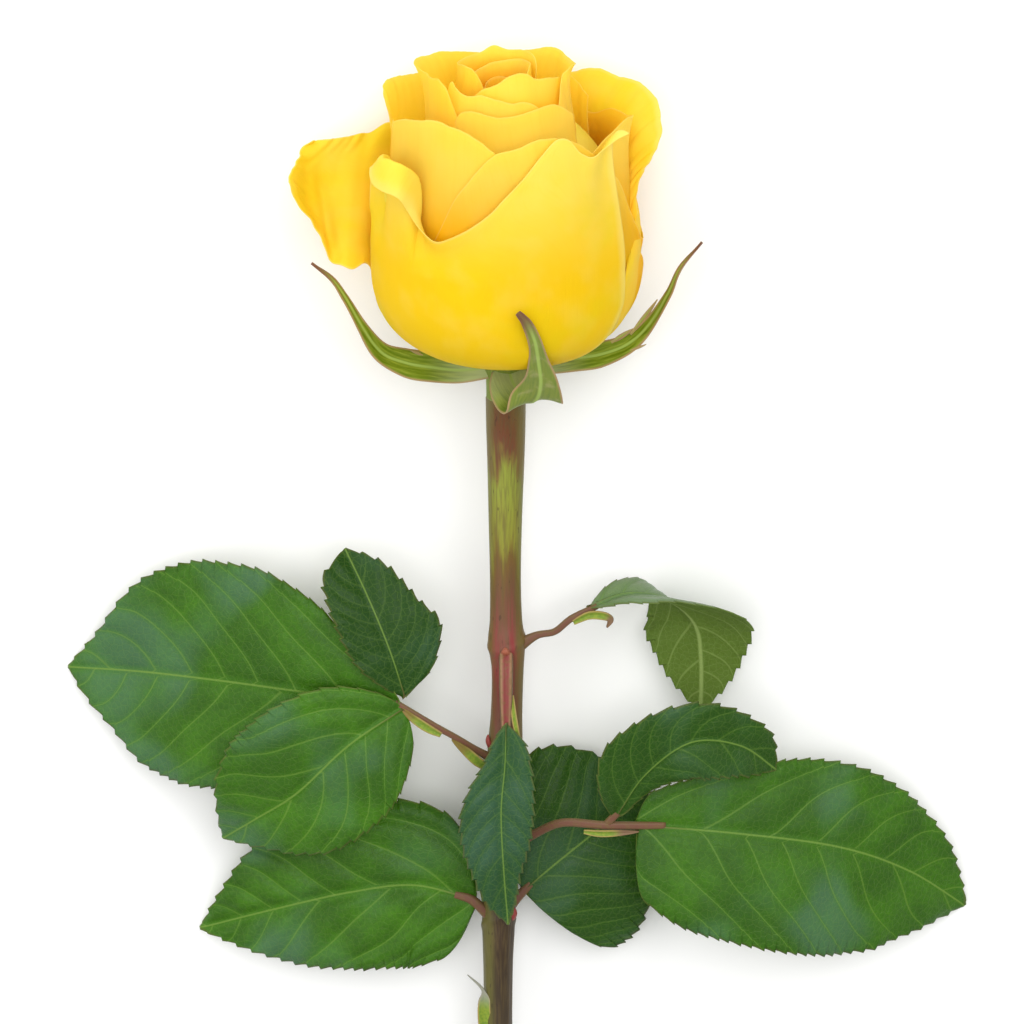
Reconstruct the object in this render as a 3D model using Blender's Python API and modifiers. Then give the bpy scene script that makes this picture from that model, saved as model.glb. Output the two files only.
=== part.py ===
"""A cut rose lying on a surface: the bloom, its calyx, the stem and six leaves.

The stem runs along Y with the bloom at +Y. The surface is z = 0, and the origin lies on it under the
middle of the rose. Sizes are written in millimetres and turned to metres where a mesh is made.
"""

import math

import bmesh
import bpy
import numpy as np

MM = 0.001
GAP = 0.3            # between a piece and the one that carries it

# the bloom's own frame: its base, the way its axis points, and the way its front faces
BLOOM_BASE = np.array([-2.0, 121.0, 20.6])
BLOOM_RISE = math.radians(13)
AXIS = np.array([0.0, math.cos(BLOOM_RISE), math.sin(BLOOM_RISE)])
FRONT = np.array([0.0, -math.sin(BLOOM_RISE), math.cos(BLOOM_RISE)])
SIDE = np.array([1.0, 0.0, 0.0])

# the cup that the petals build
WIDEST_AT = 20.0     # height above the base where the cup reaches its full radius
FULLNESS = 2.9       # how square the bottom of the cup is: 2 is a ball's
SHOULDER = 28.0      # height where it starts to close again
CLOSING = 0.12       # how far it has closed one closing run further up, as a share
CLOSING_RUN = 26.0
PETAL_THICKNESS = 0.7
FOOT_OUT_AT = 15.0   # height where a petal's foot has come out of the core
FULL_WIDTH_AT = 14.0  # height where a petal has spread to its full width
PRESSED = 0.1        # how far the lowest petals are flattened where the bloom lies on the surface
CORE_RADIUS = 22.4
CORE_TOP = 46.0

# the stem
CUT_END = -178.0
CUT_ANGLE = math.radians(35)
STEM_SIDES = 3       # bevel resolution, which gives ten sides
LEAF_THICKNESS = 0.65
SEPAL_THICKNESS = 0.6
TOOTH = 0.035        # depth of a leaf's tooth as a share of the half width


def clear_scene():
    for item in list(bpy.data.objects):
        bpy.data.objects.remove(item, do_unlink=True)


def collection(name):
    made = bpy.data.collections.new(name)
    bpy.context.scene.collection.children.link(made)
    return made


def material(name, colour, roughness):
    """A matte living surface: one colour and one roughness."""
    made = bpy.data.materials.new(name)
    made.use_nodes = True
    shader = made.node_tree.nodes["Principled BSDF"]
    shader.inputs["Base Color"].default_value = (*colour, 1.0)
    shader.inputs["Roughness"].default_value = roughness
    shader.inputs["Metallic"].default_value = 0.0
    return made


def through(values, t):
    """Smooth curve through evenly spaced values or points, read at t from 0 to 1."""
    v = np.asarray(values, float)
    t = np.asarray(t, float)
    spans = len(v) - 1
    if spans == 0:
        return v[0] + np.zeros(t.shape + v[0].shape)
    x = np.clip(t, 0, 1) * spans
    i = np.minimum(x.astype(int), spans - 1)
    f = x - i
    slope = np.gradient(v, axis=0)
    f = f.reshape(f.shape + (1,) * (v.ndim - 1))
    rise = 3 * f**2 - 2 * f**3
    return (v[i] * (1 - rise) + v[i + 1] * rise
            + slope[i] * (f**3 - 2 * f**2 + f) + slope[i + 1] * (f**3 - f**2))


def unit(vectors):
    return vectors / np.maximum(np.linalg.norm(vectors, axis=-1, keepdims=True), 1e-9)


def sheet(name, points, thickness):
    """An open sheet over a grid of points, in millimetres, given its thickness by Solidify."""
    columns, rows = points.shape[:2]
    index = np.arange(columns * rows).reshape(columns, rows)
    a, b = index[:-1, :-1].ravel(), index[1:, :-1].ravel()
    c, d = index[1:, 1:].ravel(), index[:-1, 1:].ravel()
    faces = np.concatenate([np.stack([a, b, c], -1), np.stack([a, c, d], -1)])
    mesh = bpy.data.meshes.new(name)
    mesh.from_pydata((points.reshape(-1, 3) * MM).tolist(), [], faces.tolist())
    made = bpy.data.objects.new(name, mesh)
    solid = made.modifiers.new("thickness", "SOLIDIFY")
    solid.thickness = thickness * MM
    solid.offset = 0.0
    return made


def tube(name, points, radii, sides=2):
    """A closed round tube through points, in millimetres, made a mesh."""
    curve = bpy.data.curves.new(name, "CURVE")
    curve.dimensions = "3D"
    curve.bevel_depth = MM
    curve.bevel_resolution = sides
    curve.use_fill_caps = True
    spline = curve.splines.new("POLY")
    spline.points.add(len(points) - 1)
    for point, place, radius in zip(spline.points, points, radii):
        point.co = (*(np.asarray(place) * MM), 1.0)
        point.radius = radius
    made = bpy.data.objects.new(name, curve)
    bpy.context.scene.collection.objects.link(made)
    bpy.context.view_layer.update()
    seen = made.evaluated_get(bpy.context.evaluated_depsgraph_get())
    mesh = bpy.data.meshes.new_from_object(seen)
    bpy.data.objects.remove(made, do_unlink=True)
    work = bmesh.new()
    work.from_mesh(mesh)
    bmesh.ops.remove_doubles(work, verts=work.verts, dist=1e-6)
    bmesh.ops.recalc_face_normals(work, faces=work.faces)
    work.to_mesh(mesh)
    work.free()
    return bpy.data.objects.new(name, mesh)


def largest_body(mesh):
    """Drops every loose scrap and keeps the body with the most faces."""
    work = bmesh.new()
    work.from_mesh(mesh)
    left = set(work.verts)
    bodies = []
    while left:
        start = left.pop()
        body, edge = {start}, [start]
        while edge:
            for link in edge.pop().link_edges:
                for vertex in link.verts:
                    if vertex not in body:
                        body.add(vertex)
                        edge.append(vertex)
        left -= body
        bodies.append(body)
    bodies.sort(key=len)
    scraps = [vertex for body in bodies[:-1] for vertex in body]
    bmesh.ops.delete(work, geom=scraps, context="VERTS")
    work.to_mesh(mesh)
    work.free()


def guide_box(name, size, place, tilt=0.0):
    """A wire box that cuts its neighbours and isn't part of the rose. Its size is in millimetres."""
    bpy.ops.mesh.primitive_cube_add(size=size * MM, location=np.asarray(place) * MM)
    made = bpy.context.object
    made.name = name
    made.rotation_euler = (tilt, 0, 0)
    made.hide_render = True
    made.display_type = "WIRE"
    bpy.context.view_layer.update()
    return made


def joined(name, pieces, finish, home, cutters=()):
    """One body from pieces that run into each other, cut clear of its neighbours by the cutters."""
    pile = collection(name + "_pieces")
    base = pieces[0]
    bpy.context.scene.collection.objects.link(base)
    for piece in pieces[1:]:
        pile.objects.link(piece)
    if len(pieces) > 1:
        union = base.modifiers.new("union", "BOOLEAN")
        union.operation = "UNION"
        union.operand_type = "COLLECTION"
        union.collection = pile
    for cutter in cutters:
        cut = base.modifiers.new("clearance", "BOOLEAN")
        cut.operation = "DIFFERENCE"
        cut.object = cutter
    bpy.context.view_layer.update()
    seen = base.evaluated_get(bpy.context.evaluated_depsgraph_get())
    mesh = bpy.data.meshes.new_from_object(seen)
    mesh.transform(base.matrix_world)
    for piece in pieces:
        bpy.data.objects.remove(piece, do_unlink=True)
    bpy.data.collections.remove(pile)
    largest_body(mesh)
    mesh.name = name
    mesh.materials.clear()
    mesh.materials.append(finish)
    made = bpy.data.objects.new(name, mesh)
    home.objects.link(made)
    mesh.shade_smooth()
    mesh.set_sharp_from_angle(angle=math.radians(40))
    return made


def in_bloom(side, front, height):
    """World points of places given in the bloom's own frame."""
    return (BLOOM_BASE + np.multiply.outer(side, SIDE)
            + np.multiply.outer(front, FRONT) + np.multiply.outer(height, AXIS))


def cup(height):
    """Radius of the cup at a height, as a share of its widest."""
    low = np.clip(1 - height / WIDEST_AT, 0, 1)
    bowl = (1 - low**FULLNESS) ** (1 / FULLNESS)
    high = np.clip((height - SHOULDER) / CLOSING_RUN, 0, 3)
    return bowl * (1 - CLOSING * high**2)


def petal(name, rim, radius, leave=(24,), lip=(5,), foot=2.0, waist=0.8, columns=12, rows=10,
          centre=(0.0, 0.0)):
    """A petal. It follows the cup up to the height where it leaves it, and from there a Bezier arc to
    its rim. The rim runs through even values of angle about the axis in degrees from the front,
    distance from the axis, height, and turn of the edge in degrees from upright. Lip is the length of
    the arc's last handle. The feet of the outer petals are sunk in the core."""
    u = np.linspace(0, 1, columns)[:, None]
    edge = through(rim, u[:, 0])
    angle, reach, top, turn = (edge[:, i][:, None] for i in range(4))
    turn = np.radians(turn)
    radius = through(np.atleast_1d(radius), u)
    start = through(leave, u)
    lower = max(2, rows // 3)
    height = foot + (start - foot) * np.linspace(0, 1, lower, endpoint=False)[None, :]
    sunk = np.minimum(radius, CORE_RADIUS)
    distance = (sunk + (radius - sunk) * np.clip(height / FOOT_OUT_AT, 0, 1) ** 0.6) * cup(height)
    s = 1 - (1 - np.linspace(0, 1, rows - lower)[None, :]) ** 1.35
    base = radius * cup(start)
    lean = (radius * cup(start + 0.5) - base) / 0.5
    span = np.hypot(reach - base, top - start)
    near = 0.4 * span / np.hypot(lean, 1)
    far = np.minimum(through(lip, u), span)
    weights = [(1 - s) ** 3, 3 * s * (1 - s) ** 2, 3 * s**2 * (1 - s), s**3]
    outs = [base, base + lean * near, reach - np.sin(turn) * far, reach]
    ups = [start, start + near, top - np.cos(turn) * far, top]
    distance = np.concatenate([distance, sum(w * r for w, r in zip(weights, outs))], 1)
    height = np.concatenate([height, sum(w * h for w, h in zip(weights, ups))], 1)
    middle = (angle[0] + angle[-1]) / 2
    spread = waist + (1 - waist) * np.clip(height[:, :lower] / FULL_WIDTH_AT, 0, 1) ** 0.7
    around = np.concatenate([middle + (angle - middle) * spread, angle + 0 * s], 1)
    around = np.radians(around)
    return petal_sheet(name, distance * np.sin(around) + centre[0],
                       distance * np.cos(around) + centre[1], height)


def petal_sheet(name, side, front, height):
    """A petal of places in the bloom's frame, pressed flat where it lies on the surface."""
    points = in_bloom(side, front, height)
    points[..., 2] = np.maximum(points[..., 2], PETAL_THICKNESS / 2 - PRESSED)
    return sheet(name, points, PETAL_THICKNESS)


def draped(name, angles, radius, net, columns=11, rows=13):
    """A petal that leaves the cup and hangs free: a smooth sheet through rows of points in the bloom's
    frame, carried on from two rows on the core at the given angles."""
    turns = np.radians(np.array(angles, float))
    low = [np.stack([r * np.sin(turns), r * np.cos(turns), h + 0 * turns], -1)
           for r, h in ((CORE_RADIUS * cup(2.0), 2.0), (radius * cup(6.0), 6.0))]
    points = np.array([*low, *np.array(net, float)])
    grid = through(points, np.linspace(0, 1, rows))
    grid = through(grid.transpose(1, 0, 2), np.linspace(0, 1, columns))
    return petal_sheet(name, grid[..., 0], grid[..., 1], grid[..., 2])


def core():
    """The closed heart of the bloom that the petals' feet are sunk in."""
    profile = [(0.0, -0.2), (4.4, -0.2)]
    for height in (0.6, 2.0, 4.5, 8.0, 13.0, 20.0, 28.0, 34.0):
        profile.append((CORE_RADIUS * float(cup(height)), height))
    profile += [(CORE_RADIUS * 0.64, CORE_TOP - 6), (CORE_RADIUS * 0.36, CORE_TOP), (0.0, CORE_TOP + 1.0)]
    curve = bpy.data.meshes.new("core")
    spots = [(r * MM, 0.0, h * MM) for r, h in reversed(profile)]
    curve.from_pydata(spots, [(i, i + 1) for i in range(len(spots) - 1)], [])
    made = bpy.data.objects.new("core", curve)
    turn = made.modifiers.new("turn", "SCREW")
    turn.steps = 24
    turn.render_steps = 24
    turn.use_merge_vertices = True
    turn.merge_threshold = 0.0001
    return on_axis(made)


def on_axis(made):
    """Stands a turned piece on the bloom's axis."""
    made.rotation_euler = (BLOOM_RISE - math.pi / 2, 0, 0)
    made.location = BLOOM_BASE * MM
    return made


def outer_petals():
    """The petals that build the outside of the cup, from the front one round to the back."""
    return [
        petal("front", [
            (-67, 26.4, 39.4, 120), (-60, 28.0, 38.8, 155), (-53, 28.6, 38.3, 165), (-46, 28.2, 37.9, 160),
            (-42, 26.0, 35.6, 110), (-37, 24.9, 31.2, 50), (-31, 24.8, 29.7, 30), (-22, 24.8, 31.4, 20),
            (-12, 24.7, 34.4, 15), (-2, 24.5, 38.6, 8), (7, 24.0, 42.6, 6), (15, 23.8, 46.7, 5),
            (22, 23.6, 49.4, 4), (29, 23.6, 48.8, 4), (38, 23.9, 44.8, 15), (47, 24.4, 45.8, 50),
            (58, 26.0, 47.4, 110)],
            24.8, leave=(22,), lip=(11, 14, 16, 15, 8, 5, 4, 4, 4, 4, 4, 4, 4, 4, 4, 6, 8),
            columns=22, rows=12),
        petal("right_under", [
            (44, 22.8, 40, 5), (60, 22.8, 38, 5), (74, 23.6, 28, 5), (86, 24.6, 22, 12), (98, 24.8, 21, 20),
            (112, 24.6, 24, 10), (135, 24.4, 30, 5)],
            (23.2, 23.6, 24.7, 24.7, 24.6), leave=(14, 16, 16, 15, 14), waist=0.9, columns=10, rows=9),
        petal("right_wing", [
            (79, 23.6, 25.0, 10), (87, 23.8, 29.0, 20), (95, 25.0, 33.0, 45), (101, 27.4, 36.0, 60),
            (107, 29.5, 40.2, 60), (114, 29.6, 43.6, 55), (124, 28.4, 44.9, 48), (135, 27.2, 44.9, 40),
            (150, 26.0, 44.4, 24), (168, 24.8, 41.0, 10)],
            24.2, leave=(16, 20, 22, 25, 27, 27, 27), lip=(4, 8, 12, 12, 10, 8, 5), columns=13, rows=10),
        draped("left_wing", (-84, -95, -108, -122, -138), 25.2, [
            [(-24.7, 2.0, 16.3), (-24.3, -3.0, 19.0), (-23.4, -9.0, 23.0), (-22.0, -15.0, 28.1),
             (-19.1, -19.5, 33.2)],
            [(-28.1, 5.0, 17.1), (-28.3, 0.5, 20.7), (-27.7, -6.0, 24.9), (-26.8, -11.0, 30.0),
             (-25.2, -17.0, 34.4)],
            [(-32.4, 3.0, 19.9), (-32.4, -3.5, 22.0), (-31.9, -7.5, 25.7), (-31.0, -9.5, 30.7),
             (-28.8, -14.0, 34.9)],
            [(-35.7, 0.0, 24.8), (-36.0, -4.5, 25.8), (-35.7, -6.5, 28.4), (-34.8, -7.5, 32.1),
             (-32.6, -11.0, 35.6)],
            [(-39.3, 0.0, 32.0), (-38.7, -1.5, 33.6), (-37.8, -4.0, 34.6), (-36.8, -6.5, 35.6),
             (-35.1, -9.0, 36.2)]]),
        petal("left_guard", [
            (-56, 24.3, 12, 4), (-66, 24.4, 20, 4), (-78, 24.4, 24, 4), (-94, 24.2, 23, 4),
            (-112, 24.2, 20, 0)],
            (23.8, 24.3, 24.4, 24.3, 24.2), leave=(7, 11, 14, 14, 10), columns=9, rows=7),
        petal("left_back", [
            (-54, 23.2, 36, 3), (-68, 23.6, 39, 5), (-84, 23.4, 37, 5), (-108, 23.6, 32, 5),
            (-134, 23.8, 31, 5), (-155, 23.6, 32, 5)],
            24.2, leave=(22,), waist=0.9, columns=10, rows=7),
        petal("back", [
            (150, 25.0, 34, 15), (162, 26.0, 40, 35), (176, 26.4, 43.5, 50), (190, 26.4, 43.5, 50),
            (204, 26.0, 41, 40), (216, 25.2, 35, 20)],
            (25.2, 25.9, 25.9, 25.2), leave=(20,), lip=(6,), waist=0.9, columns=12, rows=9),
    ]


def middle_petals():
    """The petals that show inside the outer ones, still wide and upright."""
    return [
        petal("second_front", [
            (-34, 22.0, 29.4, 0), (-25, 21.8, 37.0, 0), (-17, 21.8, 41.4, 0), (-8, 21.8, 45.6, 2),
            (2, 21.8, 47.4, 2), (12, 21.8, 48.9, 4), (22, 21.8, 49.2, 5), (34, 21.8, 47.4, 5),
            (52, 21.8, 42.0, 5)],
            23.0, leave=(22,), foot=14.0, waist=1.0, columns=14, rows=7),
        petal("inner_left", [
            (-104, 20.0, 40, 0), (-88, 20.2, 44.4, 2), (-70, 20.4, 47.2, 4), (-54, 20.4, 49.4, 4),
            (-38, 20.4, 50.8, 3), (-24, 20.4, 50.0, 2), (-10, 20.4, 47.5, 2), (2, 20.4, 43.4, 0)],
            (20.6, 21.4, 22.0, 22.0), leave=(26,), foot=14.0, waist=1.0, columns=12, rows=7),
        petal("left_far", [
            (-84, 19.0, 36, 0), (-98, 20.4, 40.0, 12), (-107, 22.4, 43.4, 35), (-114, 24.2, 46.2, 45),
            (-124, 24.9, 46.6, 42), (-137, 25.0, 45.4, 32), (-154, 24.4, 43.6, 15), (-176, 23.4, 42.0, 5)],
            (18.4, 20.4, 22.2, 22.6, 22.6), leave=(26, 30, 31, 28, 26), foot=14.0, waist=1.0, columns=12,
            rows=7),
        petal("right_pocket", [
            (36, 19.8, 40, 5), (56, 20.6, 44.6, 8), (76, 22.0, 46.4, 15), (92, 22.8, 44.6, 22),
            (106, 22.9, 42.4, 22), (122, 22.5, 41.4, 15), (136, 22.2, 38.8, 8), (150, 21.8, 39.4, 5),
            (176, 21.4, 42.0, 0)],
            (21.0, 22.0, 22.6, 22.6, 22.0), leave=(26,), foot=14.0, waist=1.0, columns=13, rows=7),
        petal("ring_back", [
            (128, 19.0, 44, 5), (146, 19.4, 46.6, 15), (164, 19.4, 47.6, 20), (184, 19.2, 47.8, 20),
            (204, 19.0, 47.4, 15), (226, 18.6, 45, 5)],
            19.4, leave=(34,), foot=18.0, waist=1.0, columns=10, rows=6),
        petal("ring_left", [
            (-36, 14.8, 49.6, 0), (-48, 14.6, 54.8, 0), (-62, 14.6, 55.2, 3), (-76, 14.8, 54.8, 15),
            (-92, 16.2, 54.6, 38), (-110, 17.0, 53.7, 46), (-128, 17.0, 52.6, 42), (-146, 17.0, 51.5, 30),
            (-176, 16.0, 50.2, 10)],
            (16.6, 15.4, 14.8, 15.8, 17.2), leave=(38, 38, 39, 38, 36), lip=(3, 3, 4, 5, 5), foot=20.0,
            waist=1.0, columns=14, rows=7),
        petal("ring_right", [
            (42, 13.4, 47.0, 0), (54, 12.2, 53.0, 0), (66, 12.0, 55.8, 20), (84, 12.4, 55.3, 45),
            (106, 12.7, 53.9, 50), (126, 13.4, 53.5, 38), (146, 14.3, 53.2, 28), (166, 14.4, 52.0, 20),
            (192, 14.6, 50.4, 8)],
            (17.0, 13.6, 13.0, 14.0, 15.2), leave=(37, 38, 40, 40, 38), lip=(3, 3, 4, 4, 4), foot=20.0,
            waist=1.0, columns=14, rows=7),
        petal("ring_front", [
            (-54, 15.6, 38, 0), (-43, 15.0, 45.4, 0), (-34, 14.8, 50.4, 0), (-25, 14.8, 51.5, 2),
            (-14, 14.8, 51.2, 3), (-3, 14.8, 50.8, 3), (10, 14.8, 51.4, 2), (24, 14.8, 52.2, 0),
            (38, 14.8, 52.0, 0), (56, 14.6, 48.6, 0)],
            (18.0, 18.6, 18.6, 18.6, 17.6), leave=(32,), foot=22.0, waist=1.0, columns=14, rows=6),
        petal("ring_near", [
            (-60, 13.2, 49.0, 0), (-50, 12.7, 54.7, 2), (-40, 12.8, 53.6, 3), (-29, 12.8, 53.4, 3),
            (-18, 12.8, 53.9, 3), (-7, 12.8, 53.3, 3), (6, 12.8, 52.7, 3), (18, 12.9, 52.6, 2),
            (36, 13.4, 48.8, 0)],
            (14.8, 15.6, 15.8, 15.4), leave=(38,), foot=26.0, waist=1.0, columns=13, rows=5),
    ]


def heart_petals():
    """The furled petals in the middle, wound about a line a little to the left of the axis."""
    return [
        petal("heart_front", [
            (-46, 11.1, 48.4, 0), (-35, 10.8, 52.2, 0), (-24, 10.5, 54.0, 3), (-12, 10.4, 55.0, 5),
            (0, 10.3, 56.4, 8), (12, 10.3, 57.3, 8), (24, 10.4, 56.8, 5), (37, 10.5, 55.6, 4),
            (54, 10.5, 55.0, 2), (72, 10.4, 53.6, 0), (86, 10.4, 50.0, 0)],
            (13.6, 14.0, 13.8, 12.6), leave=(42,), lip=(3,), foot=30.0, waist=1.0, columns=13, rows=5),
        petal("heart_left", [
            (-10, 6.2, 50.0, 0), (-32, 6.3, 54.8, 2), (-56, 6.5, 55.6, 5), (-84, 6.6, 54.6, 10),
            (-116, 6.8, 53.9, 15), (-148, 6.8, 53.9, 16), (-178, 6.9, 55.1, 16), (-206, 6.8, 54.6, 14),
            (-236, 6.9, 55.4, 12), (-268, 7.3, 55.0, 10), (-292, 7.8, 51.0, 0)],
            8.4, leave=(44,), lip=(3,), foot=34.0, waist=1.0, columns=16, rows=5, centre=(-2.0, -1.5)),
        petal("heart_inner", [
            (-30, 4.8, 49.0, 0), (-64, 5.0, 53.0, 3), (-104, 5.0, 53.2, 6), (-146, 4.9, 53.4, 10),
            (-188, 4.9, 54.0, 14), (-232, 4.9, 54.8, 10), (-280, 5.0, 55.4, 4), (-324, 5.4, 51.0, 0)],
            6.2, leave=(44,), lip=(3,), foot=38.0, waist=1.0, columns=13, rows=5, centre=(-0.6, 0.6)),
        petal("heart_furled", [
            (60, 2.9, 48.0, 0), (110, 3.1, 50.6, 6), (170, 3.2, 51.4, 10), (230, 3.0, 51.0, 6),
            (290, 2.8, 48.6, 0)],
            4.0, leave=(44,), lip=(3,), foot=40.0, waist=1.0, columns=9, rows=4, centre=(-1.0, 0.4)),
    ]


def bloom(home):
    surface = guide_box("surface", 120, (0, 150, -60))
    finish = material("yellow_petals", (0.93, 0.66, 0.03), 0.55)
    petals = outer_petals() + middle_petals() + heart_petals()
    made = joined("bloom", [core()] + petals, finish, home, [surface])
    bpy.data.objects.remove(surface, do_unlink=True)
    return made


def hip():
    """The swollen top of the stem that the sepals and petals grow from: a turned profile."""
    profile = [(0.0, -0.2 - GAP), (4.6, -0.2 - GAP), (4.9, -1.4), (4.8, -3.0), (4.1, -4.8),
               (3.7, -6.8), (3.6, -10.5), (0.0, -10.5)]
    curve = bpy.data.meshes.new("hip")
    spots = [(r * MM, 0.0, h * MM) for r, h in profile]
    curve.from_pydata(spots, [(i, i + 1) for i in range(len(spots) - 1)], [])
    made = bpy.data.objects.new("hip", curve)
    turn = made.modifiers.new("turn", "SCREW")
    turn.steps = 16
    turn.render_steps = 16
    turn.use_merge_vertices = True
    turn.merge_threshold = 0.0001
    return on_axis(made)


def blade(name, path, normals, left, right, fold=0.0, droop=0.0, teeth=0, stations=12,
          across=5, thickness=LEAF_THICKNESS, wave=0.0):
    """A leaf blade along a midrib. The half widths to its left and right run through even values,
    normals give the way its upper face looks, fold lifts both halves as a share of the distance
    from the midrib, droop lets the edges down, and wave ripples them. Teeth point forward."""
    count = 2 * teeth + 1 if teeth else stations
    t = np.linspace(0, 1, count)
    middle = through(path, t)
    along = unit(np.gradient(middle, axis=0))
    up = unit(through(normals, t))
    side = unit(np.cross(along, up))
    up = np.cross(side, along)
    q = np.linspace(-1, 1, across)
    half = np.where(q[:, None] < 0, through(left, t)[None, :], through(right, t)[None, :])
    out = q[:, None] * half
    lift = fold * np.abs(out) - droop * out**2
    lift = lift + wave * np.abs(q[:, None]) ** 2 * np.sin(t * 2.6 * math.tau + np.sign(q[:, None]))
    grid = middle[None] + side[None] * out[..., None] + up[None] * lift[..., None]
    if teeth:
        point = np.zeros(count)
        point[1:-1:2] = 1.0
        notch = np.where(np.abs(q[:, None]) > 0.99, 1.0, 0.0) * point[None, :]
        grid += side[None] * (out * TOOTH * notch)[..., None]
        grid += along[None] * (np.abs(out) * TOOTH * notch)[..., None]
    return sheet(name, grid, thickness)


def sepal(name, path, normals, width, fold=0.5, share=(0.5, 0.92, 1.0, 0.72, 0.4, 0.24, 0.12)):
    """A long pointed bract: widest near its foot, with a thread of a tip."""
    half = np.maximum(np.array(share) * width / 2, 0.45)
    return blade(name, in_bloom(*np.array(path, float).T), normals, half, half, fold=fold,
                 stations=11, across=5, thickness=SEPAL_THICKNESS)


def calyx(home):
    finish = material("green_sepals", (0.24, 0.33, 0.08), 0.6)
    slender = (0.7, 0.9, 1.0, 0.72, 0.42, 0.28, 0.12)
    pieces = [
        hip(),
        sepal("left", [(-3, 0.5, -4.6), (-8.5, 1.8, -4.6), (-13.7, 3, -3.5), (-18.4, 3, -2.6),
                       (-22.8, 3.3, -0.4), (-26.3, 3.8, 4.9), (-29.2, 4.2, 10.8), (-31.8, 4.6, 14.9),
                       (-35.1, 5, 18.1)],
              [(0, 0.2, 1), (0.1, 0.4, 1), (0.5, 0.6, 0.8), (0.9, 0.4, 0.3)], 5.6, 0.35, slender),
        sepal("front", [(0.5, 3, -4.4), (1.5, 7.5, -5.2), (3.6, 12, -6.0), (5.6, 16, -3.6),
                        (6.3, 19.4, 1.0), (5.9, 22.2, 6.3), (5.2, 25.0, 11.7), (3.8, 26.6, 16.0),
                        (2.2, 27.2, 18.4)],
              [(0, 1, 0.3), (0, 0.8, 0.6), (0.1, -0.1, -1), (0.1, -0.6, -0.8), (0, -0.2, -1)], 10.5, 0.25,
              (0.6, 0.95, 1.0, 0.62, 0.3, 0.2, 0.12)),
        sepal("right", [(3, -1, -4.6), (8, -1.6, -4.6), (13, -2, -4.0), (17.5, -2.4, -3.4),
                        (22.4, -2.9, -1.6), (26.4, -3, 2.4), (29.7, -3, 8.4), (32, -3, 13.8),
                        (35.6, -3, 18.7)],
              [(0, 0.2, 1), (-0.1, 0.4, 1), (-0.5, 0.6, 0.8), (-0.9, 0.4, 0.3)], 5.0, 0.35, slender),
        sepal("right_back", [(1.5, -3, -4.6), (6, -8, -4.6), (11, -12.5, -3), (15.5, -17.5, 2),
                             (17.5, -20.8, 9), (18, -22.2, 16)],
              [(0, -0.6, 1), (0, -0.8, 0.6), (-0.2, -0.9, 0.2)], 6.5),
        sepal("left_back", [(-1.5, -3, -4.6), (-6, -8, -4.6), (-11, -12.5, -3), (-16, -17, 2),
                            (-18.5, -20.4, 9.5), (-19.2, -21.8, 17.5)],
              [(0, -0.6, 1), (0, -0.8, 0.6), (0.2, -0.9, 0.2)], 6.5),
    ]
    return joined("calyx", pieces, finish, home)


# the stem's middle line: how far along Y, and its own sideways place, height and radius
STEM_LINE = np.array([
    (-2.0, 110.48, 18.17, 3.6), (-2.0, 105.4, 17.0, 3.55), (-2.0, 98.0, 16.2, 3.35),
    (-2.1, 87.0, 15.7, 3.05), (-2.1, 76.0, 15.1, 2.85), (-2.0, 68.0, 14.6, 3.0),
    (-1.9, 63.5, 14.4, 3.45), (-1.7, 58.0, 14.2, 3.0), (-1.9, 50.0, 13.8, 2.95),
    (-2.2, 43.0, 13.5, 3.25), (-2.6, 34.0, 13.0, 3.0), (-3.1, 22.0, 12.5, 3.0),
    (-3.4, 10.0, 11.9, 3.1), (-3.5, 0.0, 11.4, 2.75), (-3.5, -12.0, 10.9, 2.6),
    (-3.3, -30.0, 10.0, 2.6), (-3.0, -46.0, 9.3, 2.65), (-2.8, -56.0, 8.8, 3.05),
    (-2.7, -62.0, 8.5, 2.75), (-2.3, -84.0, 7.5, 2.8), (-1.9, -104.0, 6.6, 2.85),
    (-1.7, -112.0, 6.2, 3.25), (-1.6, -118.0, 5.9, 2.9), (-1.2, -140.0, 4.7, 2.95),
    (-1.0, -160.0, 3.6, 3.05), (-0.9, -190.0, 2.1, 3.1),
])


def stem_tube(name, extra=0.0):
    return tube(name, STEM_LINE[:, :3], STEM_LINE[:, 3] + extra, STEM_SIDES)


def prickle(y, turn, size):
    """A hooked prickle at a place along the stem, turned about it in degrees from the top."""
    line = np.array([np.interp(-y, -STEM_LINE[:, 1], STEM_LINE[:, i]) for i in (0, 2, 3)])
    out = np.array([math.sin(math.radians(turn)), 0.0, math.cos(math.radians(turn))])
    foot = np.array([line[0], y, line[1]]) + out * line[2] * 0.55
    tip = foot + out * (size + line[2] * 0.45) + np.array([0.0, -0.55 * size, 0.0])
    bulge = foot + (tip - foot) * 0.35 + np.array([0.0, 0.12 * size, 0.0])
    spot = (foot, bulge, foot + (tip - foot) * 0.7, tip)
    return tube("prickle", spot, (0.62 * size, 0.36 * size, 0.17 * size, 0.05 * size), sides=1)


def stem(home):
    finish = material("brown_green_stem", (0.16, 0.13, 0.05), 0.5)
    spur = tube("spur", [(-5.2, -13, 12.2), (-6.3, -9, 12.7), (-7.0, -5.8, 13.0), (-9.3, -3.3, 13.2)],
                (1.2, 1.1, 0.6, 0.3), sides=1)
    pieces = [stem_tube("stem"), spur]
    pieces += [prickle(-24, 70, 3.2), prickle(-39, -95, 3.6), prickle(-73, 35, 3.8),
               prickle(-92, 150, 2.6), prickle(-126, -60, 4.0), prickle(-148, 80, 3.4)]
    knife = guide_box("knife", 40, (0, CUT_END - 20, 3), CUT_ANGLE)
    made = joined("stem", pieces, finish, home, [knife])
    bpy.data.objects.remove(knife, do_unlink=True)
    return made


def stalk(name, path, thick, thin, count=8):
    """A leaf stalk that tapers from its foot."""
    t = np.linspace(0, 1, count)
    return tube(name, through(path, t), thick + (thin - thick) * t, sides=1)


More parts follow.
